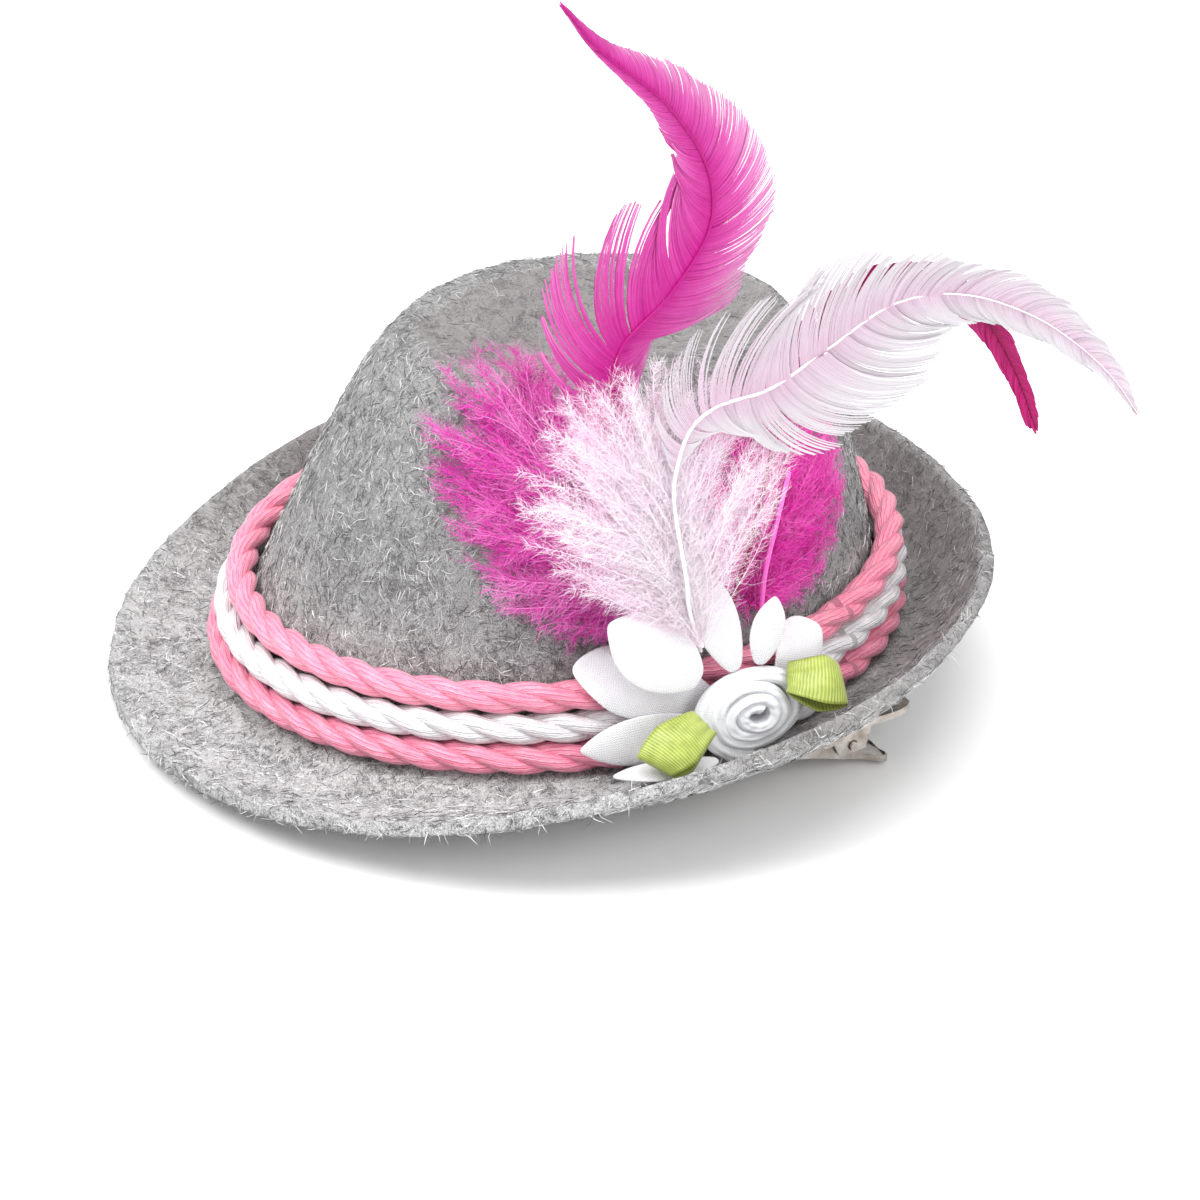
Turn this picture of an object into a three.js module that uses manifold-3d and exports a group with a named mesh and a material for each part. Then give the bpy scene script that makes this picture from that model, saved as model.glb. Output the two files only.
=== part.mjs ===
// A small tyrolean hat on an alligator hair clip: pressed felt crown and brim, three cords round
// the crown, a plume of feathers and down, a fabric flower with a ribbon rose, and the clip.
// Millimetres, +Z up. The hat's front is towards -Y and its trimmed left side towards +X. It is
// drawn level, with the underside of the crown's foot at z = 0, and then turned a little to stand
// on the brim and on the clip's lower lever, as it does on a table.

import * as THREE from "three";
import { mergeVertices } from "three/addons/utils/BufferGeometryUtils.js";
import Module from "manifold-3d";

const wasm = await Module();
wasm.setup();

// Felt body. Lengths run from the crown's axis.
const feltThickness = 2.5;
const crownFront = 61; // to the front of the crown's foot, outside
const crownBack = 57;
const crownHalfWidth = 49.5;
const crownHeight = 63; // from the foot's upper side to the highest ridge
const creaseDepth = 11;
const brimFront = 84; // to the edge of the brim
const brimBack = 75.5;
const brimHalfWidth = 72.8;
const brimSag = 2.5; // how far the brim dips under the crown's foot on its way to the edge
const rimRise = 15; // from the foot's upper side to the brim's curled edge, at its highest

// Cords round the crown's foot.
const cordDiameter = 5.3;
const cordPitch = 5.3; // from one cord's middle up to the next

// Flower, measured from its middle on the crown's left wall.
const flowerBack = 9; // behind the crown's axis
const flowerUp = 12.6; // above the crown's foot
const petalLength = 25;
const petalThickness = 1.7;
const roseRadius = 8.4;
const roseHeight = 5;
const roseRibbon = 1.3;
const leafLength = 11.5;
const leafWidth = 8; // of the ribbon
const leafLoop = 5.5; // how high the ribbon's loop stands
const leafRibbon = 0.6;

// Plume.
const tallFeather = 127; // from the flower's middle to the tip
const longFeather = 80;
const rearFeather = 61;
const quillWidth = 1.2;
const vaneThickness = 0.6;
const plumeStart = 60.7; // from the crown's axis to the plume's plane, at the foot's level
const plumeLean = 0.3; // how far that plane leans in for each millimetre up
const plumeBendHeight = 55.6; // the height over the foot at which it turns upright
const plumeEaseHeight = 10; // the height it takes to do so
const leftDown = 28; // from each tuft's middle to its longest lock
const rightDown = 20;
const whiteDown = 27;
const downThickness = 6;
const plumeLayer = 1.8; // from the tall feather out to the white one, and in to the rear one
const downLayer = 2.8; // from the tall feather out to the white down

// Hair clip. Its length runs from nose to tail, under the brim's left side.
const clipLength = 45;
const clipPivot = 32; // from the nose to the pin
const lowerLever = 8.4; // from the pin to the lower lever's tail
const clipSheet = 0.6;
const noseWidth = 4.6;
const earWidth = 7.6; // outside the upper jaw's ears
const leverWidth = 8.4;
const noseHeight = 2.2; // over both jaws
const pivotHeight = 7.6; // over both jaws at the pin
const tailHeight = 10.4; // from the upper jaw's plate to the lower lever's tail
const toothPitch = 2.6;
const toothDepth = 0.9;
const pinDiameter = 1.7;
const pinEndLength = 0.7; // past each ear
const coilDiameter = 4.5;
const wireDiameter = 0.8;
const coilTurns = 3.5;
const clipTail = { x: 45.3, y: 45.1 };
const clipHeading = -9.7; // the clip's line from nose to tail, in degrees from +Y towards +X

const clearance = 0.3; // between pieces that touch on the real hat

// How finely the round forms are divided.
const feltSides = 48;
const cordSteps = 48;
const cordSides = 8;
const downSides = 32;
const vaneSteps = 36;

const foot = feltThickness;
const turn = THREE.MathUtils.degToRad;
const { lerp, clamp } = THREE.MathUtils;

const feltGrey = { color: 0x9b9b9a, roughness: 0.95, metalness: 0 };
const pinkCord = { color: 0xff8fb4, roughness: 0.35, metalness: 0 };
const whiteCord = { color: 0xf4f2f4, roughness: 0.35, metalness: 0 };
const petalCloth = { color: 0xeeeaf0, roughness: 0.75, metalness: 0 };
const roseSatin = { color: 0xf3f1f4, roughness: 0.45, metalness: 0 };
const leafSatin = { color: 0xb3bf4a, roughness: 0.4, metalness: 0 };
const magentaFeather = { color: 0xd81f9c, roughness: 0.6, metalness: 0 };
const whiteFeather = { color: 0xf7f4f6, roughness: 0.6, metalness: 0 };
const magentaDown = { color: 0xe0189c, roughness: 0.9, metalness: 0 };
const paleDown = { color: 0xf8eef4, roughness: 0.9, metalness: 0 };
const bareSteel = { color: 0xc4c1bd, roughness: 0.25, metalness: 1 };

// Joins loops of points into one closed body, with an end over each last loop or end to end.
function skin(loops, { endless = false, firstTip, lastTip } = {}) {
  const sides = loops[0].length;
  const points = loops.flat();
  const faces = [];
  const at = (row, side) => (row % loops.length) * sides + (side % sides);
  const rows = endless ? loops.length : loops.length - 1;
  for (let row = 0; row < rows; row++) {
    for (let side = 0; side < sides; side++) {
      const [a, b] = [at(row, side), at(row, side + 1)];
      const [c, d] = [at(row + 1, side + 1), at(row + 1, side)];
      faces.push([a, b, c], [a, c, d]);
    }
  }
  if (!endless) {
    const first = points.push(firstTip ?? middleOf(loops[0])) - 1;
    const last = points.push(lastTip ?? middleOf(loops.at(-1))) - 1;
    const end = loops.length - 1;
    for (let side = 0; side < sides; side++) {
      faces.push([first, at(0, side + 1), at(0, side)]);
      faces.push([last, at(end, side), at(end, side + 1)]);
    }
  }
  return facingOut(points, faces);
}

function middleOf(loop) {
  const sum = loop.reduce((total, point) => total.add(point), new THREE.Vector3());
  return sum.divideScalar(loop.length);
}

function facingOut(points, faces) {
  const volume = faces.reduce((total, [a, b, c]) => {
    const across = new THREE.Vector3().crossVectors(points[b], points[c]);
    return total + points[a].dot(across);
  }, 0);
  const order = volume < 0 ? faces.map(([a, b, c]) => [a, c, b]) : faces;
  const geometry = new THREE.BufferGeometry().setFromPoints(points);
  geometry.setIndex(order.flat());
  geometry.computeVertexNormals();
  return geometry;
}

// One body out of two closed ones, for what the pin passes through.
function solidOf(geometry) {
  const bare = geometry.clone();
  bare.deleteAttribute("normal");
  bare.deleteAttribute("uv");
  const merged = mergeVertices(bare);
  const vertProperties = new Float32Array(merged.attributes.position.array);
  const triVerts = new Uint32Array(merged.index.array);
  return new wasm.Manifold(new wasm.Mesh({ numProp: 3, vertProperties, triVerts }));
}

function cutAway(geometry, tool) {
  const { vertProperties, triVerts } = solidOf(geometry).subtract(solidOf(tool)).getMesh();
  const result = new THREE.BufferGeometry();
  result.setAttribute("position", new THREE.BufferAttribute(vertProperties, 3));
  result.setIndex(new THREE.BufferAttribute(triVerts, 1));
  result.computeVertexNormals();
  return result;
}

// The value in `column` where `along` has reached `where`, smooth from row to row of a table.
function follow(rows, along, column, where) {
  const last = rows.length - 1;
  let i = 0;
  while (i < last - 1 && where > rows[i + 1][along]) i++;
  const row = (k) => rows[clamp(k, 0, last)];
  const slope = (k) => {
    const [before, after] = [row(k - 1), row(k + 1)];
    return (after[column] - before[column]) / (after[along] - before[along]);
  };
  const span = row(i + 1)[along] - row(i)[along];
  const t = clamp((where - row(i)[along]) / span, 0, 1);
  const rise = row(i + 1)[column] - row(i)[column];
  const [leave, arrive] = [slope(i) * span, slope(i + 1) * span];
  const bend = leave * (1 - t) ** 2 * t - arrive * (1 - t) * t * t;
  return row(i)[column] + rise * t * t * (3 - 2 * t) + bend;
}

// The crown's wall: its reach at each height as shares of the reach at the foot. Height is a
// share of the crown's height.
const crownRows = [
  { height: 0.0, front: 1.0, back: 1.0, side: 1.0 },
  { height: 0.14, front: 0.96, back: 1.005, side: 0.962 },
  { height: 0.35, front: 0.85, back: 0.965, side: 0.9 },
  { height: 0.6, front: 0.715, back: 0.895, side: 0.8 },
  { height: 0.8, front: 0.595, back: 0.81, side: 0.69 },
  { height: 0.91, front: 0.5, back: 0.71, side: 0.59 },
];
const shoulder = crownRows.at(-1);

// A point on the wall at a height share, in the direction `angle` from the front, or past it.
function wallPoint(height, angle, outwards = 0) {
  const forwards = Math.cos(angle) > 0;
  const reach = follow(crownRows, "height", forwards ? "front" : "back", height);
  const length = reach * (forwards ? crownFront : crownBack);
  const width = follow(crownRows, "height", "side", height) * crownHalfWidth;
  const x = Math.sin(angle) * width;
  const y = -Math.cos(angle) * length;
  const away = new THREE.Vector2(x / width ** 2, y / length ** 2).setLength(outwards);
  return new THREE.Vector3(x + away.x, y + away.y, foot + height * crownHeight);
}

// The crown's top: two ridges with a crease between them that runs from front to back.
const topShares = [0.24, 0.46, 0.68, 0.87];
const creaseWidth = 0.46; // shares of the shoulder's reach
const creaseLength = 0.95;
const creaseMiddle = 0.07; // behind the crown's axis

function topPoint(share, angle) {
  const edge = wallPoint(shoulder.height, angle);
  const middle = creaseMiddle * crownBack;
  const x = edge.x * share;
  const y = lerp(middle, edge.y, share);
  const dome = 1 - (1 - shoulder.height) * share ** 3;
  const across = x / (crownHalfWidth * shoulder.side * creaseWidth);
  const along = (y - middle) / (edge.y > middle ? crownBack * shoulder.back : crownFront * shoulder.front);
  const crease = Math.exp(-(across ** 2)) * Math.max(0, 1 - Math.abs(along / creaseLength) ** 3);
  return new THREE.Vector3(x, y, foot + crownHeight * dome - creaseDepth * crease);
}

// The brim at each direction from the front: how high its edge stands and how far it sags on the
// way there, as shares of the rim's rise and of the brim's sag.
const brimRows = [
  { angle: -45, edge: 0.1, sag: 1 },
  { angle: 0, edge: -0.1, sag: 1 },
  { angle: 45, edge: 0.1, sag: 0.7 },
  { angle: 90, edge: 0.77, sag: 0 },
  { angle: 135, edge: 1.0, sag: 0 },
  { angle: 180, edge: 0.86, sag: 0.8 },
  { angle: 225, edge: 1.0, sag: 1 },
  { angle: 270, edge: 0.77, sag: 1 },
  { angle: 315, edge: 0.1, sag: 1 },
  { angle: 360, edge: -0.1, sag: 1 },
  { angle: 405, edge: 0.1, sag: 0.7 },
];
const brimCurl = 2.6; // how late the edge rises

function brimPoint(share, angle) {
  const root = wallPoint(0, angle);
  const forwards = Math.cos(angle) > 0;
  const rim = new THREE.Vector2(Math.sin(angle) * brimHalfWidth, -Math.cos(angle));
  rim.y *= forwards ? brimFront : brimBack;
  const degrees = THREE.MathUtils.radToDeg(angle);
  const edge = follow(brimRows, "angle", "edge", degrees) * rimRise;
  const sag = follow(brimRows, "angle", "sag", degrees) * brimSag;
  const height = edge * share ** brimCurl - sag * Math.sin(Math.PI * Math.min(share, 1)) ** 1.5;
  return new THREE.Vector3(lerp(root.x, rim.x, share), lerp(root.y, rim.y, share), foot + height);
}

// The outside of the felt, row by row from the middle of the crown's top to the brim's edge.
const wallShares = [0.91, 0.8, 0.6, 0.35, 0.14, 0.035];
const brimShares = [0.06, 0.22, 0.42, 0.62, 0.82, 1];
const feltRows = [
  ...topShares.map((share) => (angle) => topPoint(share, angle)),
  ...wallShares.map((height) => (angle) => wallPoint(height, angle)),
  ...brimShares.map((share) => (angle) => brimPoint(share, angle)),
];

function feltBody() {
  const angles = Array.from({ length: feltSides }, (_, i) => (i / feltSides) * 2 * Math.PI);
  const outside = feltRows.map((row) => angles.map((angle) => row(angle)));
  const inside = outside.map((loop, row) =>
    loop.map((point, i) => {
      const ahead = loop[(i + 1) % feltSides].clone().sub(loop.at(i - 1));
      const above = outside[Math.max(row - 1, 0)][i];
      const below = outside[Math.min(row + 1, outside.length - 1)][i];
      const inwards = ahead.cross(below.clone().sub(above)).normalize();
      return point.clone().addScaledVector(inwards, feltThickness);
    }),
  );
  const firstTip = topPoint(0, 0);
  const lastTip = firstTip.clone().setZ(firstTip.z - feltThickness);
  return skin([...outside, ...inside.reverse()], { firstTip, lastTip });
}

// A cord's ring, counted upwards from the lowest.
function cordRing(count) {
  const radius = cordDiameter / 2;
  const up = new THREE.Vector3(0, 0, 1);
  const loops = [];
  for (let i = 0; i < cordSteps; i++) {
    const angle = (i / cordSteps) * 2 * Math.PI;
    const height = (radius + 2 * clearance + count * cordPitch) / crownHeight;
    const centre = wallPoint(height, angle, radius + 2 * clearance);
    const out = wallPoint(height, angle, 1).sub(wallPoint(height, angle));
    const loop = [];
    for (let k = 0; k < cordSides; k++) {
      const a = (k / cordSides) * 2 * Math.PI;
      const spoke = out.clone().multiplyScalar(Math.cos(a)).addScaledVector(up, Math.sin(a));
      loop.push(centre.clone().addScaledVector(spoke, (cordDiameter - clearance) / 2));
    }
    loops.push(loop);
  }
  return skin(loops, { endless: true });
}

// The surface that the trimming lies on: the crown's left wall with the cords at its foot.
// `back` is how far behind the crown's axis a point lies and `up` its height over the foot.
const cordsTop = foot + 3 * cordPitch + 2 * clearance;

function onTrim(back, up, out) {
  const height = clamp((up - foot) / crownHeight, 0, shoulder.height);
  const side = crownHalfWidth * follow(crownRows, "height", "side", height);
  const along = back / (back < 0 ? crownFront : crownBack);
  const cords = cordDiameter + 3 * clearance;
  const fade = clamp((cordsTop + cordDiameter - up) / cordDiameter, 0, 1);
  return new THREE.Vector3(side * (1 - along ** 2 / 2) + cords * fade + out, back, up);
}

// The plane of the plume, which leans in with the wall and stands up above the crown.
function onPlume(back, up, out) {
  const above = plumeEaseHeight * (1 - Math.exp(-Math.max(0, up - plumeBendHeight) / plumeEaseHeight));
  const lean = plumeLean * (Math.min(up, plumeBendHeight) + above);
  return new THREE.Vector3(plumeStart - lean + out, back, up);
}

// A fabric petal from the flower's middle to its tip: a flat padded oval with a pointed end.
const petalOutline = [
  { along: 0.0, width: 0.3 },
  { along: 0.2, width: 0.75 },
  { along: 0.45, width: 1.0 },
  { along: 0.7, width: 0.9 },
  { along: 0.9, width: 0.5 },
  { along: 1.0, width: 0.12 },
];

// Each petal's root and tip from the flower's middle, back and up, and how far each stands off the
// surface: shares of the petal's length, as its width is. Twist turns its lower edge outwards.
const petals = [
  { surface: onTrim, root: [-0.2, 0.08, 0.01], tip: [-1.12, 0.36, 0.02], width: 0.48, twist: 0 },
  { surface: onTrim, root: [-0.3, -0.05, 0.08], tip: [-1.17, -0.12, 0.06], width: 0.38, twist: 0 },
  { surface: onTrim, root: [-0.28, -0.24, 0.22], tip: [-1.06, -0.17, 0.33], width: 0.35, twist: 98 },
  { surface: onTrim, root: [0.28, -0.14, 0.0], tip: [0.84, -0.12, 0.0], width: 0.44, twist: 0 },
  { surface: onTrim, root: [0.28, 0.1, 0.085], tip: [0.72, 0.3, 0.085], width: 0.42, twist: 0 },
  { surface: onPlume, root: [-0.36, 0.34, 0.1], tip: [-0.98, 0.86, 0.14], width: 0.56, twist: 0 },
  { surface: onPlume, root: [-0.07, 0.32, 0.05], tip: [-0.32, 1.12, 0.14], width: 0.36, twist: 0 },
  { surface: onPlume, root: [0.1, 0.33, 0.06], tip: [0.24, 0.8, 0.14], width: 0.28, twist: 0 },
];

function petal({ surface, root, tip, width, twist }) {
  const [ahead, up] = [tip[0] - root[0], tip[1] - root[1]];
  const span = Math.hypot(ahead, up);
  const sides = 8;
  const steps = 7;
  const loops = [];
  for (let i = 0; i <= steps; i++) {
    const share = i / steps;
    const half = (petalLength * width * follow(petalOutline, "along", "width", share)) / 2;
    const thick = (petalThickness / 2) * (0.45 + 0.55 * Math.sin(Math.PI * share) ** 0.5);
    const [back, rise, off] = [0, 1, 2].map((k) => petalLength * lerp(root[k], tip[k], share));
    const loop = [];
    for (let k = 0; k < sides; k++) {
      const a = (k / sides) * 2 * Math.PI;
      const section = new THREE.Vector2(Math.cos(a) * half, Math.sin(a) * thick);
      const { x: across, y: out } = section.rotateAround(new THREE.Vector2(), turn(twist));
      const y = flowerBack + back - (across * up) / span;
      const z = flowerUp + rise + (across * ahead) / span;
      loop.push(surface(y, z, clearance + petalThickness / 2 + off + out));
    }
    loops.push(loop);
  }
  return skin(loops);
}

// The flower's own directions: out of the crown's wall, and up along it.
const wallLean = turn(15);
const flowerOut = new THREE.Vector3(Math.cos(wallLean), 0, Math.sin(wallLean));
const flowerRise = new THREE.Vector3(-Math.sin(wallLean), 0, Math.cos(wallLean));
const backwards = new THREE.Vector3(0, 1, 0);
const petalStack = 2 * (petalThickness + clearance); // the petals under the rose

function atFlower(back, up, out) {
  return onTrim(flowerBack, flowerUp, petalStack)
    .addScaledVector(backwards, back)
    .addScaledVector(flowerRise, up)
    .addScaledVector(flowerOut, out);
}

// A ribbon wound into a rose, its middle standing proud.
const roseTurns = 4;
const roseHeartRadius = 0.4; // the innermost turn's radius
const roseDome = 0.3; // how much lower the outermost turn stands, as a share of the height

function ribbonRose() {
  const stepsPerTurn = 16;
  const steps = roseTurns * stepsPerTurn;
  const loops = [];
  for (let i = 0; i <= steps; i++) {
    const share = i / steps;
    const angle = share * roseTurns * 2 * Math.PI;
    const radius = lerp(roseHeartRadius, roseRadius - roseRibbon, share);
    const top = roseHeight * (1 - roseDome * share ** 2);
    const [back, up] = [Math.cos(angle), Math.sin(angle)];
    const outer = radius + roseRibbon;
    const edge = (r, out) => atFlower(back * r, up * r, out);
    loops.push([
      edge(radius, 0),
      edge(outer - roseRibbon / 3, 0),
      edge(outer, top * 0.45),
      edge(outer - roseRibbon / 4, top),
      edge(radius, top * 0.97),
    ]);
  }
  return skin(loops);
}

// A leaf: a ribbon's loop, pinched at its root by the rose and open at both sides.
const leaves = {
  leaf_left: { back: -15.6, up: -0.4, out: 4.5, heading: -112, tilt: 12, size: 1 },
  leaf_right: { back: 11.3, up: 4.1, out: 2.4, heading: 110, tilt: 8, size: 0.8 },
};
const leafPinch = { width: 0.5, height: 0.4, over: 0.6 }; // shares of the width, height and length

function ribbonLeaf({ back, up, out, heading, tilt, size }) {
  const reach = (leafLength * size) / 2;
  const flat = backwards.clone().multiplyScalar(Math.sin(turn(heading)));
  flat.addScaledVector(flowerRise, Math.cos(turn(heading)));
  const ahead = flat.clone().multiplyScalar(Math.cos(turn(tilt)));
  ahead.addScaledVector(flowerOut, Math.sin(turn(tilt)));
  const height = flowerOut.clone().multiplyScalar(Math.cos(turn(tilt)));
  height.addScaledVector(flat, -Math.sin(turn(tilt)));
  const across = new THREE.Vector3().crossVectors(ahead, height);
  const seat = atFlower(back, up, out);
  const steps = 20;
  const loops = [];
  for (let i = 0; i < steps; i++) {
    const a = (i / steps) * 2 * Math.PI;
    const share = (1 - Math.cos(a)) / 2; // from the root to the far end
    const opened = Math.min(1, share / leafPinch.over);
    const half = (leafWidth / 2) * lerp(leafPinch.width, 1, opened);
    const at = (inset, end) => {
      const rise = Math.sin(a) * lerp(leafPinch.height, 1, opened);
      return seat.clone().addScaledVector(ahead, -Math.cos(a) * (reach - inset))
        .addScaledVector(height, leafLoop / 2 + rise * (leafLoop / 2 - inset))
        .addScaledVector(across, end * half);
    };
    loops.push([at(0, -1), at(0, 1), at(leafRibbon, 1), at(leafRibbon, -1)]);
  }
  return skin(loops, { endless: true });
}

// Feathers. Each quill's route is in shares of the feather's length from the flower's middle:
// back along the hat and up. The vane's barbs are in the same shares, on the quill's left and
// right as seen from outside, and sweep is their angle to the quill in degrees.
const feathers = {
  feather_magenta: {
    size: tallFeather,
    out: 0,
    quill: [
      { back: -0.055, up: 0.089 },
      { back: -0.09, up: 0.216 },
      { back: -0.128, up: 0.341 },
      { back: -0.143, up: 0.44 },
      { back: -0.131, up: 0.509 },
      { back: -0.06, up: 0.575 },
      { back: -0.005, up: 0.66 },
      { back: -0.008, up: 0.74 },
      { back: -0.065, up: 0.84 },
      { back: -0.161, up: 0.935 },
      { back: -0.209, up: 1.0 },
    ],
    vane: [
      { along: 0.28, left: 0.01, right: 0.01, sweep: 50 },
      { along: 0.34, left: 0.08, right: 0.1, sweep: 48 },
      { along: 0.42, left: 0.15, right: 0.14, sweep: 47 },
      { along: 0.5, left: 0.17, right: 0.1, sweep: 46 },
      { along: 0.6, left: 0.12, right: 0.095, sweep: 44 },
      { along: 0.67, left: 0.07, right: 0.078, sweep: 42 },
      { along: 0.76, left: 0.046, right: 0.055, sweep: 39 },
      { along: 0.88, left: 0.026, right: 0.042, sweep: 34 },
      { along: 0.96, left: 0.016, right: 0.026, sweep: 24 },
      { along: 1.0, left: 0.004, right: 0.006, sweep: 20 },
    ],
  },
  feather_white: {
    size: longFeather,
    out: plumeLayer,
    quill: [
      { back: -0.096, up: 0.154 },
      { back: -0.135, up: 0.287 },
      { back: -0.145, up: 0.39 },
      { back: -0.147, up: 0.549 },
      { back: -0.096, up: 0.66 },
      { back: -0.03, up: 0.69 },
      { back: 0.091, up: 0.696 },
      { back: 0.237, up: 0.75 },
      { back: 0.402, up: 0.811 },
      { back: 0.575, up: 0.791 },
      { back: 0.737, up: 0.712 },
      { back: 0.84, up: 0.631 },
      { back: 0.929, up: 0.537 },
      { back: 0.985, up: 0.447 },
    ],
    vane: [
      { along: 0.24, left: 0.012, right: 0.012, sweep: 62 },
      { along: 0.3, left: 0.2, right: 0.1, sweep: 60 },
      { along: 0.36, left: 0.28, right: 0.13, sweep: 57 },
      { along: 0.42, left: 0.26, right: 0.24, sweep: 53 },
      { along: 0.48, left: 0.2, right: 0.25, sweep: 49 },
      { along: 0.56, left: 0.125, right: 0.17, sweep: 44 },
      { along: 0.63, left: 0.105, right: 0.12, sweep: 38 },
      { along: 0.74, left: 0.118, right: 0.11, sweep: 32 },
      { along: 0.86, left: 0.1, right: 0.075, sweep: 27 },
      { along: 0.94, left: 0.05, right: 0.035, sweep: 23 },
      { along: 1.0, left: 0.008, right: 0.008, sweep: 20 },
    ],
  },
  feather_rear: {
    size: rearFeather,
    out: -plumeLayer,
    quill: [
      { back: -0.059, up: 0.159 },
      { back: 0.061, up: 0.385 },
      { back: 0.146, up: 0.59 },
      { back: 0.247, up: 0.852 },
      { back: 0.37, up: 1.038 },
      { back: 0.523, up: 1.098 },
      { back: 0.693, up: 1.066 },
      { back: 0.854, up: 0.913 },
      { back: 0.944, up: 0.746 },
      { back: 0.995, up: 0.572 },
    ],
    vane: [
      { along: 0.3, left: 0.015, right: 0.015, sweep: 45 },
      { along: 0.42, left: 0.08, right: 0.12, sweep: 42 },
      { along: 0.6, left: 0.07, right: 0.12, sweep: 35 },
      { along: 0.8, left: 0.08, right: 0.1, sweep: 28 },
      { along: 0.95, left: 0.07, right: 0.07, sweep: 22 },
      { along: 1.0, left: 0.015, right: 0.015, sweep: 20 },
    ],
  },
};

function feather({ size, out, quill, vane }) {
  const route = quill.map(({ back, up }) =>
    onPlume(flowerBack + back * size, flowerUp + up * size, out));
  const curve = new THREE.CatmullRomCurve3(route, false, "centripetal");
  const loops = [];
  for (let i = 0; i <= vaneSteps; i++) {
    const share = i / vaneSteps;
    const point = curve.getPointAt(share);
    const along = curve.getTangentAt(share);
    const right = new THREE.Vector3(0, along.z, -along.y).normalize();
    const inVane = share > vane[0].along;
    const lock = i % 2 ? 1 : 0.78;
    const sweep = turn(follow(vane, "along", "sweep", share));
    const edge = (side, column) => {
      const barb = inVane ? size * follow(vane, "along", column, share) * lock : 0;
      const swept = point.clone().addScaledVector(along, barb * Math.cos(sweep));
      return swept.addScaledVector(right, side * (barb * Math.sin(sweep) + quillWidth / 2));
    };
    const ridge = quillWidth / 2;
    const thin = inVane ? vaneThickness / 2 : quillWidth / 4;
    const raise = (p, height) => p.clone().setX(p.x + height);
    const [left, rightEdge] = [edge(-1, "left"), edge(1, "right")];
    loops.push([
      raise(left, -thin), raise(left, thin), raise(point, ridge),
      raise(rightEdge, thin), raise(rightEdge, -thin), raise(point, -ridge),
    ]);
  }
  return skin(loops);
}

// Down: tufts with pointed locks. Reach is a share of the tuft's size, in degrees from straight
// up towards the hat's back.
const tufts = {
  down_left: {
    size: leftDown,
    surface: onTrim,
    back: -14,
    up: 45.6,
    out: clearance,
    outline: [
      { heading: 0, reach: 1.0 },
      { heading: 45, reach: 0.6 },
      { heading: 90, reach: 0.4 },
      { heading: 135, reach: 0.5 },
      { heading: 180, reach: 0.8 },
      { heading: 225, reach: 0.72 },
      { heading: 270, reach: 0.62 },
      { heading: 315, reach: 0.86 },
      { heading: 360, reach: 1.0 },
    ],
  },
  down_right: {
    size: rightDown,
    surface: onTrim,
    back: 24,
    up: 38.6,
    out: clearance,
    outline: [
      { heading: 0, reach: 0.86 },
      { heading: 45, reach: 0.9 },
      { heading: 75, reach: 1.0 },
      { heading: 105, reach: 0.8 },
      { heading: 135, reach: 0.76 },
      { heading: 180, reach: 0.84 },
      { heading: 225, reach: 0.8 },
      { heading: 270, reach: 0.55 },
      { heading: 315, reach: 0.75 },
      { heading: 360, reach: 0.86 },
    ],
  },
  down_white: {
    size: whiteDown,
    surface: onPlume,
    back: -6,
    up: 53.6,
    out: downLayer,
    outline: [
      { heading: 0, reach: 0.92 },
      { heading: 45, reach: 0.85 },
      { heading: 90, reach: 1.0 },
      { heading: 135, reach: 0.5 },
      { heading: 180, reach: 0.68 },
      { heading: 225, reach: 0.7 },
      { heading: 270, reach: 0.75 },
      { heading: 315, reach: 0.88 },
      { heading: 360, reach: 0.92 },
    ],
  },
};

// A tuft's thickness over it, from its middle to the ends of its locks.
const tuftRows = [
  { share: 0.4, thickness: 1.0 },
  { share: 0.75, thickness: 0.7 },
  { share: 1.0, thickness: 0.12 },
];

function tuft({ size, surface, back, up, out, outline }) {
  const ring = (share, raise) => {
    const loop = [];
    for (let k = 0; k < downSides; k++) {
      const heading = (k / downSides) * 360;
      const lock = lerp(1, k % 2 ? 1 : 0.8, share);
      const reach = size * share * lock * follow(outline, "heading", "reach", heading);
      const y = back + reach * Math.sin(turn(heading));
      const z = up + reach * Math.cos(turn(heading));
      loop.push(surface(y, z, out + raise));
    }
    return loop;
  };
  const under = tuftRows.map(({ share }) => ring(share, 0));
  const over = tuftRows.map(({ share, thickness }) => ring(share, thickness * downThickness));
  return skin([...under, ...over.reverse()], {
    firstTip: surface(back, up, out),
    lastTip: surface(back, up, out + downThickness),
  });
}

// The clip. `along` runs from its nose to its tail and `across` out from the crown, and `down`
// is measured from the face of the upper jaw, which lies against the brim's underside.
const clipAlong = new THREE.Vector3(Math.sin(turn(clipHeading)), Math.cos(turn(clipHeading)), 0);
const clipAcross = new THREE.Vector3(clipAlong.y, -clipAlong.x, 0);
const clipNose = new THREE.Vector3(clipTail.x, clipTail.y, -clearance)
  .addScaledVector(clipAlong, -clipLength);

function onClip(along, across, down) {
  const point = clipNose.clone().addScaledVector(clipAlong, along);
  return point.addScaledVector(clipAcross, across).setZ(clipNose.z - down);
}

// The lower jaw's outer face along the clip: close under the upper jaw, then away from it.
const lowerTail = clipPivot + lowerLever;
const lowerFace = [
  { along: 0, down: noseHeight },
  { along: clipPivot * 0.3, down: noseHeight * 1.05 },
  { along: clipPivot * 0.55, down: lerp(noseHeight, pivotHeight, 0.15) },
  { along: clipPivot * 0.78, down: lerp(noseHeight, pivotHeight, 0.52) },
  { along: clipPivot, down: pivotHeight },
  { along: lowerTail, down: tailHeight },
];
const lowerDown = (along) => follow(lowerFace, "along", "down", along);

const pinDown = pivotHeight * 0.54;
const earReach = 3.2; // of the ears, before and behind the pin
const toothStart = 1.5;
const toothEnd = clipPivot - earReach - 2;

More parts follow.
